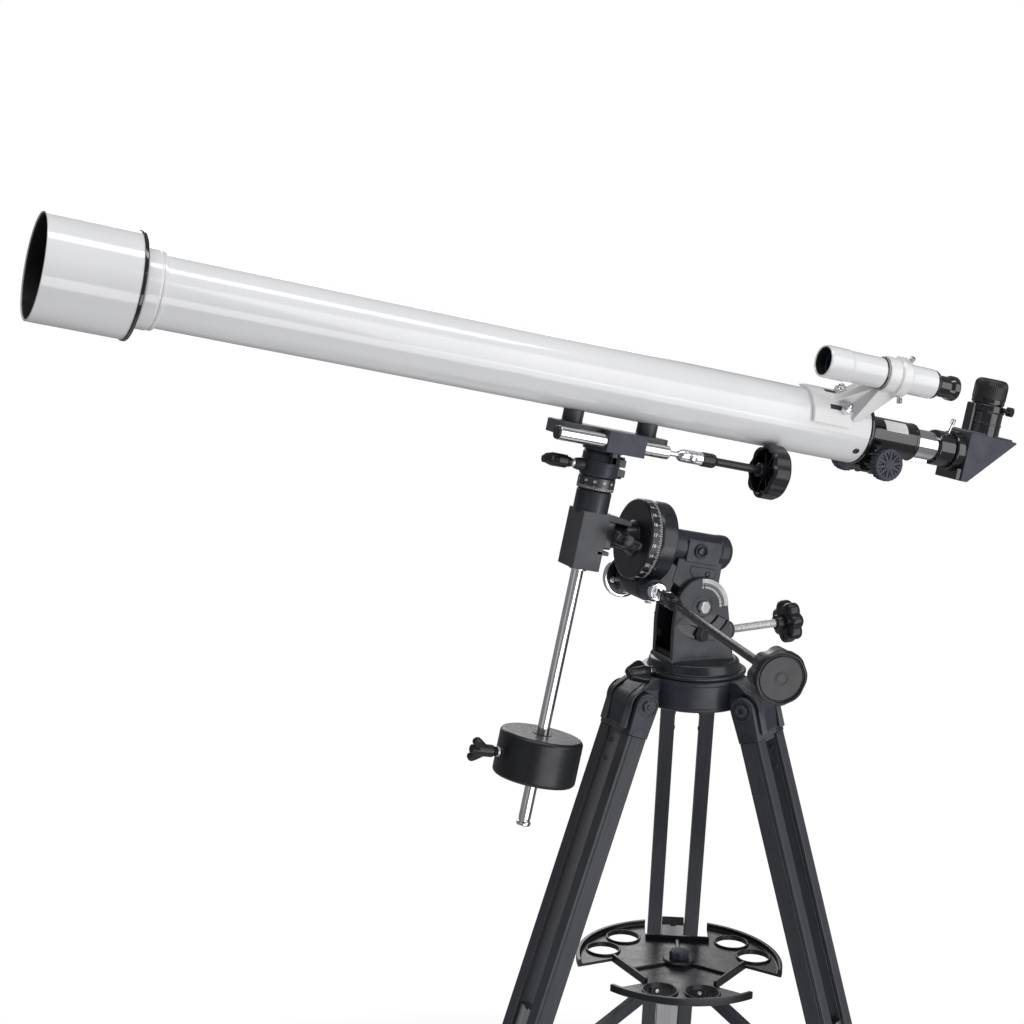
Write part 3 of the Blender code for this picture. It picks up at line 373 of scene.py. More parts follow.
def as_bmesh(drawn):
    """The finished mesh of a throwaway object."""
    SCENE.collection.objects.link(drawn)
    graph = bpy.context.evaluated_depsgraph_get()
    mesh = bpy.data.meshes.new_from_object(drawn.evaluated_get(graph))
    bpy.data.objects.remove(drawn, do_unlink=True)
    bm = bmesh.new()
    bm.from_mesh(mesh)
    bpy.data.meshes.remove(mesh)
    return bm


def as_object(bm):
    mesh = bpy.data.meshes.new("shape")
    bm.to_mesh(mesh)
    bm.free()
    return bpy.data.objects.new("shape", mesh)


def cut(bm, *tools, bevel=0.0, operation="DIFFERENCE"):
    """One shape with others taken away from it, or what it shares with another."""
    body = as_object(bm)
    cutters = [as_object(t) for t in tools]
    for cutter in cutters:
        SCENE.collection.objects.link(cutter)
        step = body.modifiers.new("cut", "BOOLEAN")
        step.operation, step.object = operation, cutter
    made = as_bmesh(body)
    for cutter in cutters:
        bpy.data.objects.remove(cutter, do_unlink=True)
    return soften(made, bevel)


def hexagon(radius, low, high, bevel=0.5):
    """A hexagon bar with softened corners, along Z."""
    return plate(arc((0, 0), radius, 0, 300, 6), low, high, bevel, flat=True)


def wedge(start, end, bevel):
    """A block between two level rectangles, each given as x, x, half width and height."""
    bm = bmesh.new()
    rows = [[bm.verts.new((x, y, z)) for x, y in oblong(x0, -half, x1, half)]
        for x0, x1, half, z in (start, end)]
    for k in range(4):
        bm.faces.new((rows[0][k], rows[0][(k + 1) % 4], rows[1][(k + 1) % 4], rows[1][k]))
    for row in rows:
        bm.faces.new(row)
    bmesh.ops.recalc_face_normals(bm, faces=bm.faces)
    return soften(bm, bevel, 3)


def spun(bm, angle, about="Z"):
    bm.transform(Matrix.Rotation(radians(angle), 4, about))
    return bm


def shifted(bm, *place):
    bm.transform(Matrix.Translation(place))
    return bm


def lettering(text, size, depth=0.1):
    """Numerals centred on the origin in X and Y."""
    words = bpy.data.curves.new("numerals", "FONT")
    words.body, words.size, words.extrude, words.offset = text, size, depth, size * 0.022
    words.align_x, words.align_y = "CENTER", "CENTER"
    bm = as_bmesh(bpy.data.objects.new("numerals", words))
    bmesh.ops.remove_doubles(bm, verts=bm.verts, dist=0.001)
    return bm


def wrapped(bm, radius, angle, height):
    """Bend a flat drawing round a cylinder about Z, at an angle in degrees and a height."""
    for v in bm.verts:
        a = radians(angle) + v.co.x / radius
        out = radius + v.co.z
        v.co = (out * cos(a), out * sin(a), height + v.co.y)
    return bm


def dial_mark(long, half):
    return plate(oblong(-half, 0, half, long), -0.1, 0.1, 0.01, flat=True)


PIECES = []


class Piece:
    """Shapes in millimetres gathered into one object that stands for a CAD node."""

    def __init__(self, name="part", cad="", base=None, body="", slot="", *materials):
        self.name, self.cad, self.base = name, cad, base
        self.body, self.slot, self.materials = body, slot, materials
        self.bm = bmesh.new()
        if cad:
            PIECES.append(self)

    def add(self, bm, paint=0, place=None, turn=None):
        """Take in a shape, turned and then moved; paint picks its material, and None keeps what it has."""
        if turn:
            bm.transform(turn_matrix(turn))
        if place:
            bm.transform(Matrix.Translation(place))
        for face in bm.faces:
            face.material_index = face.material_index if paint is None else paint
            face.smooth = True
        mesh = bpy.data.meshes.new("shape")
        bm.to_mesh(mesh)
        bm.free()
        self.bm.from_mesh(mesh)
        bpy.data.meshes.remove(mesh)

    def screw(self, place, turn=(0, 0, 0), radius=3.0, height=2.0, paint=0, style="cross"):
        """A fastener whose head stands on Z: cross, slot, hex, cap or knurl."""
        if style == "hex":
            head = hexagon(radius, 0, height)
        elif style == "cap":
            socket = hexagon(radius * 0.5, height * 0.4, height + 2, 0.05)
            head = cut(disc(radius, 0, height, 0.7, 40), socket)
        elif style == "knurl":
            head = disc(radius, 0, height, steps=72, warp=knurl(0.35, 24, radius * 0.8))
        else:
            dome = [(0, 0), (radius, 0), (radius, height * 0.35), (radius * 0.75, height * 0.85),
                (0, height)]
            arm, wide = radius * 0.55, radius * 0.13
            slots = [block((-arm, -wide, height * 0.45), (arm, wide, height + 1), 0)]
            if style == "cross":
                slots.append(block((-wide, -arm, height * 0.45), (wide, arm, height + 1), 0))
            head = cut(turned(dome, steps=40), *slots)
        self.add(head, paint, place, turn)

    def done(self):
        """Put the piece into the scene, hang it on its body's empty and hide the CAD node it stands for.
        """
        mesh = bpy.data.meshes.new(self.name)
        self.bm.to_mesh(mesh)
        self.bm.free()
        mesh.transform(Matrix.Scale(MM, 4))
        for material in self.materials:
            mesh.materials.append(material)
        mesh.set_sharp_from_angle(angle=radians(42))
        made = bpy.data.objects.new(self.name, mesh)
        SCENE.collection.objects.link(made)
        made.matrix_world = self.base
        even = made.modifiers.new("even_shading", "WEIGHTED_NORMAL")
        even.keep_sharp = True
        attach(made, self.body)
        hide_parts(self.cad)


# ---- shared hardware

def wing(name, cad, base, body, inner, outer, half_span, thickness, thread_from, tilt=0, nut=None):
    """A two-winged hand screw along X: threaded stem, boss, wings, and perhaps a nut on the stem."""
    piece = Piece(name, cad, base, body, "black_plastic", PLASTIC, ZINC)
    hub = thickness * 0.68
    piece.add(turned([(0, inner - 5), (hub * 0.72, inner - 5), (hub * 0.8, inner - 1), (hub, inner),
        (hub * 1.02, outer - 9), (hub * 0.7, outer - 1.5), (0, outer - 0.5)], 1.2, 40, "x"))
    half = [(inner + 2, -hub * 0.55), (inner + 7, -hub * 0.9), (outer - 10, -half_span + 2)]
    half += arc((outer - 5.5, -half_span + 4.5), 4.5, 225, 380, 8) + [(outer - 3.2, -hub * 0.9)]
    blades = mirrored(half, [(outer - 4.2, 0)])
    piece.add(plate(blades, -thickness * 0.36, thickness * 0.36, thickness * 0.22, flat=True),
        turn=(tilt, 0, 0))
    piece.add(threaded(3, thread_from, inner - 4), 1)
    if nut:
        piece.add(disc(*nut, 0.5, 32, "x"), 1)


def star_knob(piece, radius, thickness, z):
    """A lobed hand knob on Z from a height: its face at the top, its hollow ribbed back below."""
    lobes, depth = 8, 2.4

    def rim(r, height, a):
        if r < radius * 0.86:
            return r
        hollow = (0.5 - 0.5 * cos(lobes * a)) ** 1.6
        return r - depth * hollow * (1.15 - height / thickness)

    face, top, floor = radius - 4.2, thickness, thickness * 0.62
    profile = [(0, top - 0.9), (face - 1.2, top - 0.9), (face - 0.6, top - 1.6), (face + 0.3, top - 1.6),
        (face + 0.9, top), (radius - 2.2, top), (radius, top - 2.4), (radius, 3), (radius - 1.8, 0.6),
        (radius - 4, 0.6), (radius - 5.5, 2), (radius - 6.5, floor), (8.5, floor), (7.4, 1), (6.8, -3),
        (0, -3)]
    piece.add(turned(profile, 0.9, lobes * 16, warp=rim), 0, (0, 0, z))
    piece.add(band(5.2, 6, top - 1.2, top - 0.55, 0.15, 48), 0, (0, 0, z))
    piece.add(disc(4.4, top - 1.6, top - 0.6, 0.3, 48), 0, (0, 0, z))
    for k in range(lobes):
        rib = block((7, -0.8, top * 0.3), (radius - 5.6, 0.8, top * 0.66), 0.3)
        piece.add(rib, 0, (0, 0, z), (0, 0, (k + 0.5) * 360 / lobes))


def knuckle(piece, reach):
    """The forked universal joint between a screw and its control rod, on Z."""
    piece.add(turned([(0, -1), (5.6, -1), (6.2, 0.4), (6.2, 6), (0, 6)], 0.5, 40), 1)
    for sign in SIDES:
        fork = [(-5.2, 4), (5.2, 4), (5.2, 13)] + arc((0, 13), 5.2, 0, 180, 10)
        piece.add(plate(fork, sign * 3, sign * 6, 0.5))
    piece.add(block((-4.6, -3, 7), (4.6, 3, reach), 0.8))
    piece.screw((0, -6, 13), (90, 0, 0), 3.4, 1.8, 1, "cross")
    piece.screw((0, 6, 13), (-90, 0, 0), 3.4, 1.8, 1, "hex")


def thumbscrew(stem_radius, start, end, radius, height, x, angle):
    """A knurled screw that stands out from the X axis."""
    drawn = Piece()
    drawn.add(rod((0, 0, start), (0, 0, end), stem_radius, steps=24))
    drawn.screw((0, 0, end - 1), None, radius, height, 0, "knurl")
    return shifted(spun(drawn.bm, angle, "X"), x, 0, 0)


# ---- tripod

HINGE_R, HINGE_Z = 68.3, -25
RAIL_Y, RAIL_W, RAIL_D = 20.3, 14.7, 21
RAIL_TOP, RAIL_BOTTOM = -32, -560
LEG_END, BRACE_PIN_Z = -790, -400


def brace_length():
    """The distance between a brace's pivots, from the joints and the spreader's height."""
    outer = point("leg_1_brace_fold")
    reach = hypot(outer.x - HUB.translation.x, outer.y - HUB.translation.y) - 30 * MM
    return hypot(reach, SPREADER.translation.z - outer.z) / MM


def tripod_hub():
    hub = Piece("tripod_hub_casting", "tripod_hub", HUB, "tripod_head", "black_plastic", PAINT)
    hub.add(turned([(0, 0), (48, 0), (50.6, -1.4), (51, -3), (51, -5.2), (50, -6), (50, -27.5),
        (50.6, -28.5), (50.6, -30.4), (49, -32), (40, -32), (39, -28), (12, -28), (11, -31), (0, -31)],
        0.7, 128))
    tongue = [(40, -1.6), (HINGE_R - 12, -1.6), (HINGE_R - 2, -5.8)]
    tongue += arc((HINGE_R + 0.8, HINGE_Z - 1.8), 16, 66, 5, 10)
    tongue += [(HINGE_R + 20.2, HINGE_Z - 20)] + arc((HINGE_R + 18.4, HINGE_Z - 20), 2, 0, -90, 4)
    tongue += arc((HINGE_R, HINGE_Z), 15.8, -55, -130, 8) + [(48, -30), (40, -30)]
    # shoulder that caps the leg's ears and widens away from the hub
    cap = [(44, -1.6), (HINGE_R - 12, -1.6), (HINGE_R - 2, -5.4)]
    cap += arc((HINGE_R + 0.6, HINGE_Z - 1.6), 16.8, 66, 3, 12)
    cap += [(HINGE_R + 23.4, HINGE_Z - 21), (HINGE_R + 19.4, HINGE_Z - 21)]
    cap += arc((HINGE_R, HINGE_Z), 15, -4, 122, 16) + [(44, -13)]
    inner, outer = 14.2, 24
    for i in LEGS:
        hub.add(plate(tongue, -14, 14, 2), turn=(0, 0, BEARING[i]))
        for sign in SIDES:
            side = plate(cap, sign * inner, sign * outer, 1.6)
            for v in side.verts:
                spread = 0.08 + 0.92 * min(1, max(0, (v.co.x - 50) / 20))
                v.co.y *= (inner + (abs(v.co.y) - inner) * spread) / abs(v.co.y)
            hub.add(side, turn=(0, 0, BEARING[i]))


def leg(i):
    body, base, lower_body = f"leg_{i}", LEG[i], f"leg_{i}_extension"
    outer = RAIL_Y + RAIL_W / 2
    w, d = RAIL_W / 2, RAIL_D / 2
    top = Piece(f"{body}_cap", f"{body}_top_bracket", base, body, "black_plastic", PAINT)
    ear = arc((0, 0), 12.5, 180, 0, 20) + [(d + 0.6, RAIL_TOP + 0.3), (-d - 0.6, RAIL_TOP + 0.3)]
    tab = arc((0, RAIL_TOP + 0.6), 8.4, 0, 180, 20)
    for sign in SIDES:
        top.add(plate(ear, sign * 14.6, sign * (outer + 0.5), 1.2))
        top.add(plate(tab, sign * (outer - 0.5), sign * (outer + 1.3), 0.35))
        top.add(band(9.4, 10.6, -0.8, 1), 0, (0, sign * (outer + 0.5), 0), (90, 0, 0))
    top.add(block((-10, -outer + 2, RAIL_TOP + 0.3), (10, outer - 2, RAIL_TOP + 6), 1))
    top.add(block((-8, -12.4, RAIL_TOP - 4), (8, 12.4, RAIL_TOP + 3), 1.2))
    top.add(rod((0, -outer, 0), (0, outer, 0), 4))
    top.screw((0, -outer - 0.4, 0), (90, 0, 0), 6, 2.6, 0, "cap")
    top.screw((0, outer + 0.4, 0), (-90, 0, 0), 6.2, 3.6, 0, "hex")
    top.add(rod((0, outer + 3, 0), (0, outer + 5.4, 0), 2.8))

    rails = Piece(f"{body}_rail_pair", f"{body}_rails", base, body, "black_paint", RAIL, ZINC, PAINT)
    g = 0.55
    section = mirrored([(-d, -w), (d - 4.6, -w), (d - 4.2, -w + g), (d - 3.4, -w + g), (d - 3, -w),
        (d, -w)])
    ear = arc((-22, BRACE_PIN_Z), 6.3, 90, 270, 12) + [(-d, BRACE_PIN_Z - 7), (-d, BRACE_PIN_Z + 7)]
    eye = arc((-22, BRACE_PIN_Z), 2.5, 0, 345, 24)
    for sign in SIDES:
        rails.add(plate(rounded(section, 1.1), RAIL_BOTTOM, RAIL_TOP, 0.12, flat=True), 0,
            (0, sign * RAIL_Y, 0))
        for z in (RAIL_TOP - 13, RAIL_TOP - 32):
            rails.screw((1, sign * (RAIL_Y - w + 0.1), z), (90 * sign, 0, 0), 2.6, 1.3, 2, "slot")
        for z in (BRACE_PIN_Z + 8, BRACE_PIN_Z - 8):
            rails.screw((-d + 0.1, sign * RAIL_Y, z), (0, -90, 0), 2.6, 1.2, 1)
        rails.add(plate(ear, sign * 5.5, sign * 9.1, 0.7, [eye]), 2)
    rails.add(block((-d - 2, -RAIL_Y - 5, -414), (-d + 1.5, RAIL_Y + 5, -386), 0.8), 2)

    clamp = Piece(f"{body}_clamp_block", f"{body}_clamp", base, body, "black_plastic", PLASTIC, ZINC)
    pockets = [block((-d - 0.2, y - w - 0.2, RAIL_BOTTOM - 0.3), (d + 0.2, y + w + 0.2, -530), 0)
        for y in (-RAIL_Y, RAIL_Y)]
    pockets.append(block((-7.4, -12.4, -606), (7.4, 12.4, -530), 0))
    clamp.add(cut(block((-14, -31, -600), (14, 31, -540), 3, 3), *pockets, bevel=0.4))
    for z in (-551, -558, -565):
        for x in (-14, 14):
            clamp.add(block((x - 0.9, -27, z - 1.4), (x + 0.9, 27, z + 1.4), 0.8))
    clamp.add(hoop([(3.4, 0), (8.5, 0), (7.6, 2.6), (3.4, 2.6)], 0.5, 40), 0, (14, 0, -578), (0, 90, 0))
    for sign in SIDES:
        clamp.screw((0, sign * 31, -590), (-90 * sign, 0, 0), 3.2, 1.8, 1)

    lock = basis(point(f"{body}_lock_turn"), x=axis(f"{body}_lock_turn"), y=axis(f"{body}_fold"))
    wing(f"{body}_clamp_wing", f"{body}_clamp_knob", lock, f"{body}_lock", 20, 41, 17, 7.5, 8)

    lower = Piece(f"{body}_lower_tube", f"{body}_inner_leg", base, lower_body, "leg_aluminium", ALLOY,
        PLASTIC)
    section = mirrored([(-7, -12), (-2, -12), (-1.6, -11.4), (1.6, -11.4), (2, -12), (7, -12), (7, -3.4),
        (6.5, -3)]) + [(-7, 3.4), (-6.5, 3), (-6.5, -3), (-7, -3.4)]
    lower.add(plate(rounded(section, 0.8, True, 2), LEG_END, -320, 0.12, flat=True))
    lower.add(block((-6.8, -11.8, -322), (6.8, 11.8, -319.2), 0.6), 1)

    boot = moved(base, (0, 0, LEG_END))
    foot = Piece(f"{body}_foot_boot", f"{body}_foot", boot, lower_body, "foot_rubber", RUBBER)
    level = base.to_3x3().inverted() @ basis(Vector(), z=UP, x=OUTWARD[i]).to_3x3()
    pad = turned([(0, -16), (17.4, -16), (19, -14.4), (19, -10.5), (17.6, -9.6), (17, -4.6), (0, -4.2)],
        0.8, 128, warp=knurl(0.7, 32, 18))
    pad.transform(level.to_4x4())
    foot.add(pad)
    foot.add(block((-10, -15, -10), (10, 15, 22), 2.6, 3))
    for z in (1, 6, 11, 16):
        foot.add(block((-10.6, -15.6, z - 1), (10.6, 15.6, z + 1), 1))

    inward = OUTWARD[i] * cos(radians(30)) - UP * sin(radians(30))
    pivot = basis(point(f"{body}_brace_fold"), y=axis(f"{body}_fold"), x=inward)
    strut = Piece(f"{body}_brace_strut", f"{body}_brace", pivot, f"{body}_strut", "black_paint", PAINT,
        ZINC)
    length = brace_length()
    rail = link_bar(-length, 0, 5.4, 12)
    for sign in SIDES:
        strut.add(plate(rail, sign * 3.4, sign * 5, 0.5))
        strut.screw((0, sign * 9.2, 0), (-90 * sign, 0, 0), 3.4, 1.4, 1)
    strut.add(plate(rail, -3.6, 3.6, 0.4, [link_bar(-length + 14, -14, 3, 8)]))
    for x in (0, -length):
        strut.add(rod((x, -9.6, 0), (x, 9.6, 0), 2.1), 1)


def spreader():
    hub = Piece("spreader_boss", "spreader_hub", SPREADER, "spreader", "black_plastic", PLASTIC)
    hub.add(turned([(0, -9), (11.5, -9), (13, -7.5), (13, 14), (15, 16), (15, 19.7), (0, 19.7)]))
    fin = [(6, -9), (30, -9)] + arc((30, 0), 7, -60, 60) + [(30, 9), (20, 16), (6, 16)]
    eye = arc((30, 0), 2.4, 0, 345, 20)
    tray = Piece("tray", "accessory_tray", SPREADER, "spreader", "black_plastic", PLASTIC, SOFT)
    hole_ring, hole = 80, 16.2
    cutters = []
    for i in LEGS:
        turn = (0, 0, BEARING[i])
        for sign in SIDES:
            hub.add(plate(fin, sign * 5.6, sign * 9.1, 0.8, [eye]), turn=turn)
        cutters.append(spun(block((60, -33, 0), (130, 33, 60), 0), BEARING[i]))
        for offset in (45, 75):
            angle = radians(BEARING[i] + offset)
            x, y = hole_ring * cos(angle), hole_ring * sin(angle)
            cutters.append(rod((x, y, 0), (x, y, 50), hole, 0, 48))
            tray.add(hoop([(hole, 20.6), (18.6, 20.6), (18, 25), (hole, 25)], 0.6), 0, (x, y, 0))
        tray.add(block((14, -2, 22.4), (58, 2, 25.6), 0.8), turn=turn)
        tray.add(block((56.5, -33.4, 20.2), (59.8, 33.4, 28), 0.8), turn=turn)
    dish = turned([(0, 23), (100, 23), (101, 24), (101, 28), (105, 28), (105, 21), (104, 20), (0, 20)],
        0.8, 128)
    tray.add(cut(dish, *cutters, bevel=0.5))
    tray.add(turned([(0, 22), (17, 22), (17, 26), (15.4, 27.6), (0, 27.6)]))
    # thumb nut that holds the tray down
    nut = turned([(0, 0), (10, 0), (10, 7), (6, 8.4), (0, 8.8)], 1.2, 96, warp=knurl(1.4, 8, 9))
    tray.add(nut, 1, (0, 0, 27.4))


# ---- base and polar head

def azimuth_base():
    base = Piece("azimuth_base_casting", "azimuth_base", HUB, "azimuth_mount", "black_paint", PAINT, DRUM_PAINT_AND_SHADE,
        INK, ARC, INNER_BLACK_AND_SHADE)
    base.add(turned([(0, 14), (41, 14), (43.2, 13.4), (44.4, 12.2), (46.4, 4.6), (47.2, 4), (51, 3.8),
        (52, 3), (52, 1.2), (51.2, 0.3), (0, 0.3)], 0.8, 128), 1)
    bolt_x, bolt_z, radius = -5.4, 68.2, 28.5
    cheek = [(-36, 10), (31, 10), (31, 20), (bolt_x + radius, bolt_z)]
    cheek += arc((bolt_x, bolt_z), radius, 6, 168, 28) + [(-36, 50)]
    slot = arc((bolt_x, bolt_z), 32.5, 205, 332, 24) + arc((bolt_x, bolt_z), 21.5, 332, 205, 20)
    low = bolt_z - 27.5
    for sign in SIDES:
        out = (-90 * sign, 0, 0)
        # painted shade: the inner cheek plate takes the darker drum black so the recess seen through the
        # slot reads darker
        base.add(plate(cheek, sign * 16, sign * 20, 0.8), 1)
        base.add(plate(cheek, sign * 19.5, sign * 22, 0.9, [slot]))
        base.add(band(10.5, 11.3, 0, 0.5, 0.15), 0, (bolt_x, sign * 22, bolt_z), out)
        base.screw((bolt_x - 1, sign * 19.6, low), (-90 * sign, 0, 30), 7.4, 7, 1, "hex")
        base.add(disc(7, 0, 3.4, 0.8, 48), 0, (bolt_x + 11.5, sign * 19.6, low), out)
        # painted shade: the inner ribs take the darkest inner black
        for z in (34, 41):
            base.add(block((-34.5, sign * 12.6, z - 20), (-30, sign * 16.4, z)), 4)
    foot = [(-37.5, 13.6), (32.5, 13.6), (32.5, 15), (31, 17), (-36, 17), (-37.5, 15)]
    base.add(plate(foot, -23, 23, 0.5))
    base.add(block((24, -19, 12), (31, 19, 48), 1.6))
    # painted shade: the rear block between the cheeks takes the darkest inner black
    base.add(block((-34, -17, 12), (-31, 17, 22), 1), 4)
    base.add(turned([(0, 27), (9, 27), (9, 37.6), (8.2, 39.9), (4.8, 39.9), (4.8, 38.6), (0, 38.6)], 0.7,
        64, "x"), 0, (0, 0, 38))
    latitude_scale(base, bolt_x, bolt_z)

    bolt = Piece("latitude_pivot_bolt", "latitude_bolt", PIVOT, "azimuth_mount", "zinc_steel", ZINC)
    for sign in SIDES:
        bolt.add(hexagon(6.7, 0, 4.4, 0.9), 0, (0, sign * 22.4, 0), (-90 * sign, 0, 20))
    bolt.add(rod((0, -24, 0), (0, 24, 0), 4.9))


def latitude_scale(base, x, z):
    """A plain pale arc on each cheek, with a row of white degree marks and numbers inside it."""
    sweep = arc((x, z), 28.2, 0, 94, 36) + arc((x, z), 23.8, 94, 0, 30)
    for sign in SIDES:
        place = (x, sign * 22.05, z)
        base.add(plate(sweep, sign * 21.6, sign * 22.5, 0.2), 3)
        for k in range(19):
            long = 1.2 if k % 2 else 1.8
            tick = spun(block((23.5 - long, -0.22, -0.12), (23.5, 0.22, 0.12), 0), 90, "X")
            base.add(spun(tick, -2 - 5 * k, "Y"), 2, place)
        for k in range(10):
            digit = spun(shifted(lettering(str(10 * k), 3.1, 0.08), 0, 19.6, 0), 2 - 10 * k)
            base.add(spun(spun(digit, 90, "X"), 90 + 90 * sign), 2, place)


def azimuth_lock():
    lock = Piece("azimuth_lock_wing", "azimuth_lock_knob", AZIMUTH_LOCK, "azimuth_lock", "black_plastic",
        PLASTIC, ZINC)
    lock.add(threaded(3, 52.4, 60), 1)
    lock.add(turned([(0, 52.4), (4.4, 52.4), (4, 55), (0, 55)], 0.5, 32, "x"))
    lock.add(turned([(0, 57), (4.6, 57), (5.4, 60), (6.2, 66), (5.8, 76), (4.6, 82), (0, 83)], 1.2, 40,
        "x"))
    blades = mirrored([(60, -4), (61.5, -10.5), (64.5, -12.5), (69, -12), (82, -6.5), (83.5, -4)])
    lock.add(plate(rounded(blades, 2), -3.6, 3.6, 1.6, flat=True), turn=(-40, 0, 0))


def altitude_adjuster():
    thread = Piece("altitude_threaded_rod", "altitude_screw", SCREW, "altitude_rod", "zinc_steel", ZINC)
    thread.add(threaded(4.2, -34.4, 59.5, 1.5, 32))

    def scallop(r, z, a):
        if r < 12:
            return r
        wave = (0.5 + 0.5 * cos(7 * a)) ** 0.6
        return r - (1 - wave) * 4.0 * min(1, (r - 12) / 6)

    end = moved(SCREW, (59.8, 0, 0), (0, 90, 0))
    knob = Piece("altitude_star_knob", "altitude_knob", end, "altitude_handle", "black_plastic", PLASTIC)
    knob.add(turned([(0, 0), (7.6, 0), (8.2, 8), (9, 9), (0, 9)], 0.8))
    knob.add(turned([(0, 6.5), (13, 6.5), (20, 8), (22, 10.5), (22, 18.5), (20, 21.8), (15, 22.8),
        (9, 22.9), (8, 21.6), (0, 21.6)], 2, 140, warp=scallop))


def polar_head():
    head = Piece("polar_housing_casting", "polar_housing", POLAR, "polar_head", "black_paint", PAINT,
        ZINC, DRUM_PAINT_AND_SHADE)
    head.add(hoop([(10.6, 24.8), (13.4, 24.8), (16, 22.8), (17.2, 20.4), (17.2, 12.4), (16.5, 11.6),
        (16.5, -46), (18.5, -50.4), (10.6, -50.4)], 0.7, 80, "x"))
    head.add(hoop([(37.4, -50.6), (39.2, -51.2), (39.5, -53), (39.5, -66), (38.9, -68.7), (36.7, -68.7),
        (36.7, -54), (17, -54), (17, -50.6)], 0.6, 128, "x"), 2)
    head.add(hoop([(17, -53.2), (37.4, -53.2), (37.4, -50.7), (17, -48.5)], 0.8, 96, "x"), 2)
    head.add(hoop([(10.6, 24.6), (13, 24.6), (12.6, 26), (10.6, 26)], 0.4, 64, "x"))
    pivot_z = -53.3
    web = [(-34, -10), (-36, -34), (-20, pivot_z + 12)] + arc((0, pivot_z), 17.2, 158, 250)
    web += [(-6, pivot_z - 29), (6, pivot_z - 29)] + arc((0, pivot_z), 17.2, 290, 360, 10) + [(15.5, -8)]
    head.add(plate(web, -15.6, 15.6, 1.4))
    # flat panel on each side of the barrel, with its round plug
    for sign in SIDES:
        head.add(plate(rounded(oblong(-27, -12, 10, 10), 2), sign * 10, sign * 17.6))
        place, out = (-12.4, sign * 17.4, 0), (-90 * sign, 0, 0)
        head.add(hoop([(5, 0), (7.4, 0), (7.2, 2.2), (6.6, 2.6), (5.4, 2.2), (5, 1.2)], 0.3, 48), 0,
            place, out)
        head.screw(place, out, 4, 1.9, 2, "slot")
    foot = [(-19, -15.5), (9, -15.5), (11, -21), (7, -29), (-13, -29), (-20, -21)]
    head.add(plate(foot, -16.4, 16.4, 1.4))
    head.screw((0.6, -16.2, -21.5), (90, 0, 0), 3, 1.6, 2)
    # worm bracket
    barrel = mirrored([(0, -33.8), (10, -33.8), (11, -32.4), (11, -22), (13, -18)])
    head.add(turned(barrel, 0.8, 64, "y"), 0, (-62, 0, -43))
    head.add(plate([(-72, -50), (-36, -50), (-30, -20), (-40, -16), (-52, -36), (-72, -34)], -15, 15,
        1.6))
    for y in (-24, 24):
        head.screw((-62, y, -55.6), (180, 0, 0), 3.2, 1.8, 1, "cap")


def ra_drive():
    rim = 39.55
    face = moved(POLAR, (-81, 0, 0), (0, 90, 0))
    circle = Piece("ra_scale_ring", "ra_setting_circle", face, "ra_wheel", "black_plastic", DRUM_PAINT_AND_SHADE, INK)
    circle.add(hoop([(12.8, 0), (37.6, 0), (39, 0.7), (39.5, 2), (39.5, 11.4), (39, 12), (12.8, 12)],
        0.35, 144))
    for k in range(144):
        long = 4.2 if k % 6 == 0 else 3.0 if k % 3 == 0 else 2.2
        circle.add(wrapped(dial_mark(long, 0.22), rim, 2.5 * k, 11.6 - long), 1)
    for k in range(24):
        circle.add(wrapped(spun(lettering(str(k), 4.4), 90), rim, 15 * k, 4.2), 1)
    wheel = Piece("ra_worm_gear", "ra_worm_wheel", POLAR, "ra_wheel", "wheel_brass", BRASS)
    wheel.add(hoop([(12.3, -53.5), (35.6, -53.5), (36.2, -55), (36.2, -64.6), (35.6, -66), (16, -66),
        (16, -68.8), (12.3, -68.8)], 0.3, 240, "x", knurl(0.9, 120, 35.8)))

    worm = Piece("ra_worm_shaft", "ra_worm", WORM, "ra_worm_drive", "chrome_steel", CHROME, BRIGHT,
        PLASTIC)
    worm.add(rod((0, -41, 0), (0, 41, 0), 4), 1)
    threads = [(5.2 + 1.2 * (k % 2), -9 + k) for k in range(19)]
    worm.add(turned([(0, -9), *threads, (0, 9)], 0.2, 32, "y"), 1)
    # near end: a concentric nut; far end: a hand wheel with round bosses
    worm.add(turned([(0, -34.4), (9.2, -34.4), (9.2, -39.4), (8.2, -41.2), (6.2, -41.2), (5.8, -40.2),
        (4.6, -40.2), (4.2, -42), (0, -42)], 0.4, 48, "y"))
    worm.add(hoop([(17.6, 34.4), (20.4, 34.6), (21, 36), (21, 39.6), (20.4, 41), (18.2, 41),
        (17.6, 39.6)], 0.9, 80, "y"))
    worm.add(turned([(0, 35.2), (18, 35.2), (18, 37.8), (7, 38.4), (6.4, 41), (0, 41)], 0.6, 64, "y"), 2)
    for k in range(4):
        angle = radians(20 + 90 * k)
        boss = turned([(0, -2.2), (3.4, -2.2), (3.4, 5.4), (2.4, 6.4), (0, 6.4)], 0.8, 32, "y")
        worm.add(boss, 0, (12.4 * cos(angle), 35.2, 12.4 * sin(angle)))

    # from the universal joint to the hand knob, both given in the polar frame
    joint, hand = Vector((-61.5, -50, -44.5)), Vector((-93.6, -325.1, -59))
    end = (hand - joint).length - 12
    control = Piece("ra_control_handle", "ra_control", RA_CONTROL, "ra_handle", "black_plastic", PLASTIC,
        BRIGHT)
    knuckle(control, 22)
    control.add(turned([(0, 18), (6.6, 18), (7, 20), (7, 34), (6.2, 36), (4.2, 37.5), (4, 40), (4, end),
        (0, end)], 0.8, 48))
    star_knob(control, 24, 19, end - 1)


# ---- declination head

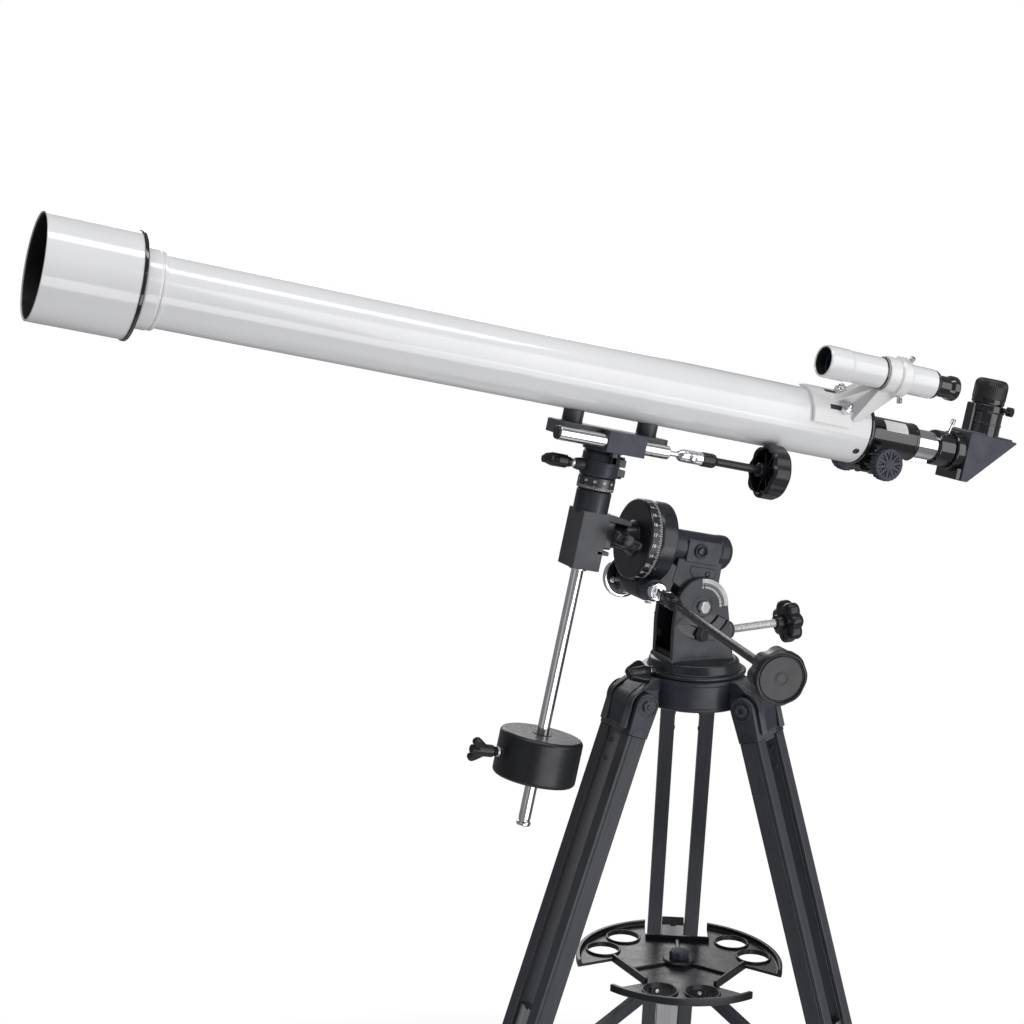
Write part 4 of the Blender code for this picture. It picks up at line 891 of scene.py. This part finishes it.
def dec_head():
    head = Piece("dec_housing_casting", "dec_housing", DEC, "dec_head", "black_paint", PAINT, ZINC, DRUM_PAINT_AND_SHADE)
    head.add(block((-14.5, -17, -36), (14.5, 17, 20), 1, 3))
    head.add(hoop([(8.6, 17), (17, 17), (17, 38.6), (16.2, 39.7), (8.6, 39.7)], 0.5, 80))
    head.add(turned([(0, 10), (12, 10), (12.2, 18), (12.8, 34), (13.8, 42), (16, 47), (18.5, 50),
        (0, 50)], 1.5, 80, "x"), 2)
    head.add(block((8, -13.5, -14), (24, 13.5, 14), 2.2, 3), 2)
    head.add(block((8, -17, -19.5), (21, 17, -15.5), 0.8))
    head.add(plate([(8, 13), (8, 19.5), (22, 19.5), (39, 16.6), (39, 12.2), (22, 13)], -16.4, 16.4))
    head.add(rod((48, 0, 0), (77, 0, 0), 12))
    head.add(rod((48, 0, 0), (143.2, 0, 0), 10))
    head.add(hoop([(3.4, 9), (7.8, 9), (7.2, 16.5), (3.4, 16.5)], 0.6, 40), 0, (30.4, 0, 0), (90, 0, 0))

    wing("ra_clamp_wing", "ra_clamp_knob", RA_CLAMP, "ra_clamp", 19, 36.5, 17, 12, 10, -16)

    shaft = Piece("counterweight_bar", "counterweight_shaft", DEC, "dec_head", "chrome_steel", CHROME,
        BRIGHT)
    shaft.add(turned([(0, -16.5), (6, -16.5), (6, -287), (5.6, -288), (5.6, -289.5), (6.8, -290),
        (7, -291), (7, -293), (6.2, -294), (0, -294)], 0.4))
    shaft.add(band(6.1, 8.6, -38.2, -35.6, 0.4), 1)

    ring = Piece("dec_clamp_collar", "dec_clamp_ring", DEC, "dec_clutch", "black_paint", PAINT)
    ring.add(hoop([(8.6, 53.3), (17.4, 53.3), (18.2, 54.2), (18.4, 57), (18.4, 75), (17.4, 77.3),
        (8.6, 77.3)], 0.5, 80))
    ring.add(hoop([(18, 63.4), (19, 63.8), (19, 68.4), (18, 68.8)], 0.4, 80))
    ring.add(block((12, -10.5, 56.5), (23.5, 10.5, 63.8), 1.2))
    ring.add(block((12, -10.5, 66), (22.5, 10.5, 73.6), 1.2))
    ring.screw((19.6, -5, 73.4), (0, 0, 0), 2.8, 2.2, 0, "cap")
    ring.screw((19.6, -5, 56.7), (180, 0, 0), 2.8, 2.2, 0, "cap")
    ring.screw((23.2, -4, 60), (0, 90, 0), 2.6, 2.4, 0, "slot")
    ring.add(block((-3, -28.3, 68), (3, -16, 76), 0.8))
    ring.add(block((-3, -28.3, 68), (3, -21.5, 95), 0.8))
    ring.add(hoop([(3.2, -18), (6.2, -17.5), (6.2, -22.4), (5.2, -27), (3.2, -27)], 0.7, 40, "x"), 0,
        (0, 0, 62))

    wing("dec_clamp_wing", "dec_clamp_knob", DEC_CLAMP, "dec_clamp", 36, 60, 10, 9.5, 10, 12,
        (4.2, 27.5, 30))

    rim = 18.05
    dial = Piece("dec_scale_ring", "dec_setting_circle", DEC, "dec_clutch", "scale_aluminium", DIAL, INK)
    dial.add(hoop([(8.6, 40.3), (17.4, 40.3), (18, 41), (18, 52.2), (17.4, 53), (8.6, 53)], 0.3, 96))
    for k in range(72):
        dial.add(wrapped(dial_mark(2.4 if k % 6 else 3.6, 0.2), rim, 5 * k, 41.2), 1)
    for k in range(12):
        number = min(30 * k % 180, 180 - 30 * k % 180)
        dial.add(wrapped(lettering(str(number), 3.3), rim, 30 * k, 48.6), 1)


BARREL = (0, -25, 88.9)


def saddle():
    top = Piece("saddle_casting", "saddle_plate", DEC, "optical_tube", "black_paint", PAINT)
    outline = mirrored([(-59, -10), (-52, -16), (54, -16), (61.3, -10)])
    deck = plate(outline, 87, 100, 1, flat=True)
    top.add(cut(deck, block((-12.9, -40, 70), (28.3, -15.9, 102), 0)))
    top.add(turned([(0, 77.7), (19, 77.7), (20, 78.6), (20, 90), (0, 90)], 0.5, 80))
    top.add(rod((0, 0, -10), (0, 0, 84), 8))
    for x in (-38.7, 41.4):
        post = turned([(0, 96), (10.6, 96), (10.6, 100.6), (10, 101.2), (10, 124), (0, 124)], 0.4, 48)
        top.add(cut(shifted(post, x, 0, 0), rod((-90, 0, 143.8), (90, 0, 143.8), 32.6, 0, 96)))

    unit = Piece("saddle_drive_block", "saddle_block", DEC, "optical_tube", "black_paint", SOFT, BRIGHT)
    shell = block((-12.6, -33, 79.5), (28, -16.3, 99.8), 0.5)
    unit.add(cut(shell, block((-7, -29.5, 70), (7, -10, 97), 0)))
    unit.add(hoop([(3, 27), (6.6, 27.6), (6.6, 55), (5.8, 56), (3, 56)], 0.4, 64, "x"), 1, BARREL)

    barrel = Piece("spring_barrel", "dec_spring_barrel", DEC, "optical_tube", "chrome_steel", CHROME,
        PLASTIC)
    barrel.add(disc(6.75, -61.5, -13, 0.5, 64, "x"), 0, BARREL)
    barrel.add(turned([(0, -64.5), (5.9, -64.5), (6.4, -63.6), (6.4, -61), (0, -61)], 0.5, 48, "x"), 1,
        BARREL)
    barrel.add(rod((-14, 0, 0), (-6.5, 0, 0), 3), 0, BARREL)

    control = Piece("dec_control_handle", "dec_control", DEC_CONTROL, "dec_handle", "black_plastic",
        PLASTIC, BRIGHT)
    control.add(rod((0, 0, 6.8), (0, 0, 72), 2.5), 1)
    control.add(turned([(0, 66), (3.6, 66), (5.8, 69), (6.2, 71), (6.2, 94), (0, 94)], 0.6, 48), 1)
    for angle in (45, 135):
        control.add(block((-6.9, -1.5, 74), (6.9, 1.5, 92), 0.5), 1, turn=(0, 0, angle))
    control.screw((0, -5.6, 81), (90, 0, 0), 4.4, 4, 1)
    control.add(turned([(0, 92), (6.6, 92), (7, 93), (7, 105), (6.2, 107), (4.1, 108.5), (4, 111),
        (4, 160), (0, 160)], 0.8, 48))
    star_knob(control, 27, 20, 160)


def counterweight():
    weight = Piece("weight", "counterweight", WEIGHT, "weight", "black_iron", IRON)
    weight.add(hoop(mirrored([(6.4, 22.5), (38.6, 22.5), (41, 19.8)]), 1.4, 128))
    weight.add(band(6.4, 9.6, 22.2, 23.2, 0.3, 48))
    wing("weight_wing", "counterweight_knob", WEIGHT_LOCK, "weight_lock", 49, 73, 13, 9, 8, 70,
        (4.8, 41.4, 44))


# ---- optical tube

def tube():
    shell = Piece("white_tube", "main_tube", TUBE, "optical_tube", "white_paint", WHITE, INNER_BLACK_AND_SHADE, GLOSS)
    shell.add(hoop([(32.5, 270.6), (32.5, -459.8), (31.6, -460), (31.3, -459.8), (31.3, 270.6)], 0.2, 128,
        "x"))
    for x in (-300, -120, 60, 200):
        shell.add(band(25, 31.4, x, x + 1.5, 0.1, 96, "x"), 1)
    for angle in (125, 245, 5):
        head = Piece()
        head.screw((0, 0, 32.2), None, 3.5, 1.6)
        shell.add(head.bm, 2, (262, 0, 0), (angle, 0, 0))

    cell = Piece("lens_cell_ring", "lens_cell", TUBE, "optical_tube", "white_paint", WHITE, INNER_BLACK_AND_SHADE)
    cell.add(hoop([(34.2, -449.2), (35.2, -449.8), (35.2, -452.4), (34.4, -453), (34.4, -453.8),
        (35.8, -455), (35.8, -466), (34.8, -468), (34.8, -485), (34, -486), (28, -486), (28, -482),
        (30.8, -482), (30.8, -462), (27, -462), (27, -460.2), (32.7, -460.2), (32.7, -449.4)], 0.4, 128,
        "x"))
    cell.add(band(27.8, 31.5, -486.4, -485.8, 0.1, 96, "x"), 1)
    front, rear, radius, bulge = -481.7, -462.3, 30.4, 3.4
    lens = Piece("doublet", "objective_lens", TUBE, "optical_tube", "lens_glass", GLASS)
    curve = [(radius * k / 12, front + bulge * (k / 12) ** 2) for k in range(13)]
    lens.add(turned([(0, rear), (radius, rear)] + curve[::-1], 0, 96, "x"))

    shield = Piece("dew_cap", "dew_shield", TUBE, "shield", "white_paint", WHITE, INNER_BLACK_AND_SHADE, GLOSS)
    ribs = []
    for k in range(39):
        x = -554.2 + 2.0 * k
        ribs += [(44.6, x), (44.6, x + 0.9), (43.9, x + 1), (43.9, x + 1.9)]
    shield.add(hoop([(47, -473.4), (47, -555.1), (46.2, -555.6), (45.2, -555.1), (45.2, -473.4)], 0.35,
        144, "x"))
    shield.add(hoop([(45.4, -474.6), (45.4, -554.4), *ribs, (44.4, -475)], 0, 96, "x"), 1)
    shield.add(hoop([(47.8, -470), (48.3, -470.6), (48.3, -473), (47.6, -473.6), (35.4, -473.6),
        (35.4, -470)], 0.4, 144, "x"), 2)


def focuser():
    body = Piece("focuser_casting", "focuser_housing", TUBE, "optical_tube", "gloss_black", GLOSS, LABEL,
        SOFT)
    body.add(hoop([(15.4, 340.8), (18.2, 340.8), (19, 339.8), (19, 292), (19.6, 284), (22, 278.5),
        (26, 275.6), (32.6, 275), (33.4, 274), (33.4, 271.4), (31, 271.2), (31, 258), (15.4, 258)], 0.7,
        128, "x"))
    pinion_block = [(277, -10), (277, -33), (281, -37), (306, -37), (319.6, -28), (319.6, -10)]
    body.add(plate(rounded(pinion_block, 1.5), -13, 13, 1))
    body.add(band(3.4, 8, -20, 20, 0.5, 48, "y"), 0, (293.6, 0, -25.5))
    body.add(block((282, -10, -38.2), (304, 10, -36.6), 0.5))
    for x in (286, 302):
        body.screw((x, 0, -38), (180, 0, 0), 2.6, 1.6, 2)
    # plain label on the upper side
    tag = plate(rounded(oblong(-13.5, -7, 13.5, 7), 1.2), -0.08, 0.08, 0.02, flat=True)
    for y in range(-6, 7):
        parts = tag.verts[:] + tag.edges[:] + tag.faces[:]
        bmesh.ops.bisect_plane(tag, geom=parts, plane_co=(0, y, 0), plane_no=(0, 1, 0))
    body.add(bend_over(tag, 19.08, 46), 1, (312, 0, 0))
    body.add(band(18.6, 19.4, 336.6, 340.2, 0.3, 96, "x"))

    knobs = Piece("focus_knob_pair", "focus_knobs", FOCUS, "focus_pinion", "black_plastic", PLASTIC,
        BRIGHT, SOFT)
    knobs.add(rod((0, -41, 0), (0, 41, 0), 3), 1)
    knobs.add(disc(6, -6, 6, 0.2, 120, "y", knurl(0.9, 12, 5)), 1)
    for sign in SIDES:
        flip = (0, 0, 90 - 90 * sign)
        wheel = turned([(0, 30), (14.6, 30), (16.6, 31.6), (16.8, 33.5), (16.8, 40.6), (15.6, 42.4),
            (14.4, 42.8), (13.6, 42.2), (0, 42.2)], 0.5, 144, "y", lambda r, z,
            a: r - (1.0 if r > 15.9 and cos(24 * a) < -0.1 else 0))
        cuts = []
        for k in range(10):
            for lean in (-17, 17):
                bar = spun(block((0, 40.4, -0.7), (6.8, 45, 0.7), 0), lean, "Y")
                cuts.append(spun(shifted(bar, 6, 0, 0), 36 * k, "Y"))
        knobs.add(cut(wheel, *cuts), 2, None, flip)
        knobs.add(disc(4.8, 0, 0.7, 0.3, 40), 0, (0, sign * 42.1, 0), (-90 * sign, 0, 0))
        neck = hoop([(3.2, 20), (6.4, 20), (7.2, 24), (7.2, 30.4), (3.2, 30.4)], 0.6, 40, "y")
        knobs.add(neck, 0, None, flip)

    draw = Piece("chrome_draw_tube", "draw_tube", TUBE, "draw", "chrome_steel", CHROME, GLOSS, BRIGHT)
    draw.add(band(13.5, 15, 235.2, 371, 0.3, 96, "x"))
    draw.add(hoop([(15.2, 367.4), (17.4, 367.4), (18.2, 368.4), (18.2, 386), (17.4, 387), (13.4, 387),
        (13.4, 367.4)], 0.5, 96, "x"), 1)
    draw.add(thumbscrew(1.2, 16, 29, 2.8, 5, 382, 16))
    draw.add(block((240, -4, -18.6), (364, 4, -14), 0.3), 2)
    for k in range(61):
        draw.add(block((241 + 2 * k, -3.8, -19.4), (242 + 2 * k, 3.8, -18.2), 0), 2)


def bend_over(bm, radius, angle):
    """Bend a flat drawing in X and Y round the tube's axis; the angle is from +Y to +Z."""
    for v in bm.verts:
        a = radians(angle) + pi / 2 + v.co.y / radius
        out = radius + v.co.z
        v.co = (v.co.x, out * cos(a), out * sin(a))
    return bm


def diagonal():
    start, face, centre = 387.3, 402, 425
    holder = (centre, 0, 0)
    body = Piece("star_diagonal", "diagonal_body", TUBE, "diagonal", "black_plastic", GLOSS, SOFT,
        PLASTIC)
    side = [(face - 3, 22.5), (456.6, 21.4), (458, 20.2), (face + 5, -28.4), (face - 3, -28.4)]
    body.add(plate(side, -20, 20, 0.7), 1)
    body.add(block((face - 9, -18, -28.2), (face + 1, 18, -16), 1))
    body.add(hoop([(11.6, face + 1), (18.6, face + 1), (19, face), (19, start + 10), (20.4, start + 9.8),
        (21, start + 9), (21, start + 1), (20.2, start), (13, start), (13, start - 21.4),
        (12.4, start - 22), (11.6, start - 22)], 0.5, 96, "x"))
    body.add(hoop([(15.8, 18), (18, 20), (18, 46), (19.2, 47), (19.2, 53.4), (18.6, 54), (16.2, 54),
        (16.2, 21), (15.8, 21)], 0.5, 96), 0, holder)
    body.add(hoop([(17.8, 33), (18.5, 33.4), (18.5, 35.2), (17.8, 35.6)], 0.2, 80), 0, holder)
    body.add(block((-21.4, -6, 21), (-16.6, 6, 53.4), 1.2), 0, holder)
    body.add(plate([(face - 2, 22), (455, 20.8), (453, 23.4), (face, 24.6)], -17, 17, 0.5), 1)
    # round black thumbscrew on the eyepiece holder
    for reach, radius, length in ((18, 2, 5), (22.5, 4.9, 6.5)):
        peg = disc(radius, 0, length, 0.6, 72, "x", knurl(0.4, 20, 3))
        body.add(shifted(peg, reach, 0, 51), 2, holder, (0, 0, -60))
    flat = moved(TUBE, (425.6, 0, -0.6), (0, -44.63, 0))
    mirror = Piece("diagonal_flat", "diagonal_mirror", flat, "diagonal", "mirror_glass", MIRROR)
    mirror.add(block((-19, -14.5, 0), (19, 14.5, 2), 0.3))

    ocular = Piece("eyepiece_body", "eyepiece", moved(TUBE, holder), "ocular", "black_plastic", RUBBER,
        GLOSS, GLASS)
    ocular.add(turned([(0, 24), (15.2, 24), (15.8, 25), (15.8, 54.8), (16.8, 55), (17, 56), (17, 60.4),
        (0, 60.4)], 0.4, 80), 1)
    ocular.add(turned([(0, 60), (17.2, 60), (17.4, 61), (17.4, 74), (16.6, 77.6), (14, 80.4), (11, 81),
        (9.5, 80.2), (8.6, 78), (0, 78)], 0.9, 192, warp=knurl(0.55, 48, 15, 62)))
    ocular.add(turned([(0, 77.2), (8.4, 77.2), (8.4, 78.2), (4, 78.9), (0, 79)], 0.2, 48), 2)


def finder():
    scope = Piece("finder_shell", "finder_tube", FINDER, "optical_tube", "white_paint", WHITE, INNER_BLACK_AND_SHADE,
        GLOSS)
    scope.add(hoop([(14.4, 316), (14.8, 315), (14.8, 286), (15.2, 284), (15.2, 216), (15.9, 213.6),
        (16.1, 190), (15.5, 188.2), (14.4, 188), (13.8, 189), (13.6, 190), (13.6, 315)], 0.5, 96, "x"))
    bore = 12.9
    for near, far in ((188.8, 199.6), (204.6, 299)):
        scope.add(band(bore, 13.65, near, far, 0.1, 80, "x"), 1)
    scope.add(band(15.1, 15.6, 253.6, 255.6, 0.15, 96, "x"), 2)
    lens = Piece("finder_objective", "finder_lens", FINDER, "optical_tube", "lens_glass", GLASS)
    front = [(bore * k / 8, 196.5 + 3.5 * (k / 8) ** 2) for k in range(9)]
    lens.add(turned(front + [(bore, 203), (0, 204)], 0, 64, "x"))

    ocular = Piece("finder_ocular", "finder_eyepiece", FINDER, "finder_focus", "black_plastic", GLOSS,
        GLASS)
    ocular.add(turned([(0, 300), (bore, 300), (bore, 316.6), (14.2, 316.8), (14.4, 318), (13.6, 319.6),
        (11.2, 320.6), (10.6, 322), (10.6, 334), (11.6, 336), (12.4, 338), (12.4, 343.6), (11.6, 345),
        (9.4, 345), (8.6, 343.4), (0, 343.2)], 0.6, 80, "x"))
    ocular.add(turned([(0, 342.6), (7.4, 342.6), (7.4, 343.6), (0, 344.4)], 0.1, 48, "x"), 1)

    # bracket: a curved foot on the tube, with a painted-shade strip in place of a slot under each of two
    # knurled nuts, a gusset and the ring
    arm = Piece("finder_stand", "finder_bracket", FINDER, "optical_tube", "white_plastic", PEARL, CHROME,
        SHADE)
    tube_z, nut_x = -78, 236.4
    foot = hoop([(32.7, 200), (35.8, 200), (36.6, 201), (36.6, 245), (35.8, 246), (32.7, 246)], 0.4, 160,
        "x")
    keep = block((190, -60, 24.5), (256, 60, 60), 0)
    arm.add(cut(foot, keep, operation="INTERSECT"), 0, (0, 0, tube_z))
    arm.add(wedge((243, 252, 23, tube_z + 30), (257, 281, 12, -12), 1.6))
    arm.add(wedge((224, 248, 4.2, tube_z + 34), (258, 278, 6, -14), 1.4))
    arm.add(hoop([(16, 256.6), (17.2, 256.6), (17.8, 257.4), (17.8, 269.4), (19.4, 270.4), (20, 271.4),
        (20, 281), (19.2, 282.2), (16, 282.2)], 0.6, 96, "x"))
    for angle in (-17, 19):
        nut = Piece()
        # painted shade: a thin dark strip under the nut in place of a cut slot
        nut.add(block((219, -2.6, 36), (237, 2.6, 37), 0.3), 2)
        nut.screw((nut_x, 0, 36.8), None, 6.6, 5.2, 1, "knurl")
        nut.add(disc(4.6, 0, 3.4, 0.9, 40), 1, (nut_x, 0, 41.6))
        nut.add(rod((nut_x, 0, 34), (nut_x, 0, 46.8), 2), 1)
        arm.add(nut.bm, None, (0, 0, tube_z), (angle, 0, 0))
    for angle in (0, 120, 240):
        arm.add(thumbscrew(1.7, 16.5, 23, 2.9, 4.6, 278, angle), 1)


# ---- studio

def studio():
    sheet = bmesh.new()
    bmesh.ops.create_circle(sheet, cap_ends=True, radius=1.05, segments=128)
    floor = as_object(sheet)
    floor.name = "floor"
    SCENE.collection.objects.link(floor)
    ground, tree = node_material("pale_floor")
    reach = node(tree, "VectorMath", "Value", operation="LENGTH", a=node(tree, "TexCoord", "Object"))
    fade = node(tree, "MapRange", Value=reach, From_Min=0.55, From_Max=1.04, To_Min=1, To_Max=0)
    feed(tree, tree.nodes["Principled BSDF"], dict(Base_Color=(0.94, 0.94, 0.95, 1), Roughness=0.6,
        Alpha=fade))
    floor.data.materials.append(ground)

    world = bpy.data.worlds.new("studio")
    SCENE.world = world
    world.use_nodes = True
    tree = world.node_tree
    sky = tree.nodes["Background"]
    feed(tree, sky, dict(Color=(0.96, 0.97, 1, 1), Strength=0.22))
    backdrop = node(tree, "Background", Color=(1, 1, 1, 1), Strength=1)
    seen = node(tree, "LightPath", "Is Camera Ray")
    mixed = node(tree, "MixShader", a=seen, b=sky.outputs[0], c=backdrop)
    tree.links.new(mixed, tree.nodes["World Output"].inputs[0])

    lamps = (("key", (2, -2.8, 1.5), 2.6, 3.2, 54), ("left", (-3, -1.4, 1.5), 1.8, 2.2, 3),
        ("top", (-0.1, -0.5, 3), 3, 0.5, 26), ("rim", (0.6, 2.8, 2), 2.2, 1.4, 28),
        ("low", (0.3, -2.2, 0.1), 2.4, 0.9, 18))
    target = Vector((0.05, 0, 0.95))
    for name, place, wide, tall, power in lamps:
        lamp = bpy.data.lights.new(name, "AREA")
        lamp.shape, lamp.size, lamp.size_y, lamp.energy = "RECTANGLE", wide, tall, power
        made = bpy.data.objects.new(name, lamp)
        made.location = place
        made.rotation_euler = (target - Vector(place)).to_track_quat("-Z", "Y").to_euler()
        SCENE.collection.objects.link(made)
    SCENE.view_settings.view_transform = "Standard"


def camera():
    turn, rise, roll = radians(-23.06), radians(9.60), radians(1.97)
    back = Vector((sin(turn) * cos(rise), -cos(turn) * cos(rise), sin(rise)))
    level = Vector((cos(turn), sin(turn), 0))
    over = back.cross(level)
    right = level * cos(roll) + over * sin(roll)
    up = over * cos(roll) - level * sin(roll)
    lens = bpy.data.cameras.new("camera")
    lens.lens, lens.sensor_width = 68.75, 36
    made = bpy.data.objects.new("camera", lens)
    place = HUB.translation + Vector((-0.9130, -1.6698, 0.4725))
    made.matrix_world = Matrix.Translation(place) @ Matrix((right, up, back)).transposed().to_4x4()
    SCENE.collection.objects.link(made)
    SCENE.camera = made


tripod_hub()
for number in LEGS:
    leg(number)
for build in (spreader, azimuth_base, azimuth_lock, altitude_adjuster, polar_head, ra_drive, dec_head,
        saddle, counterweight, tube, focuser, diagonal, finder):
    build()
for piece in PIECES:
    piece.done()
studio()
camera()
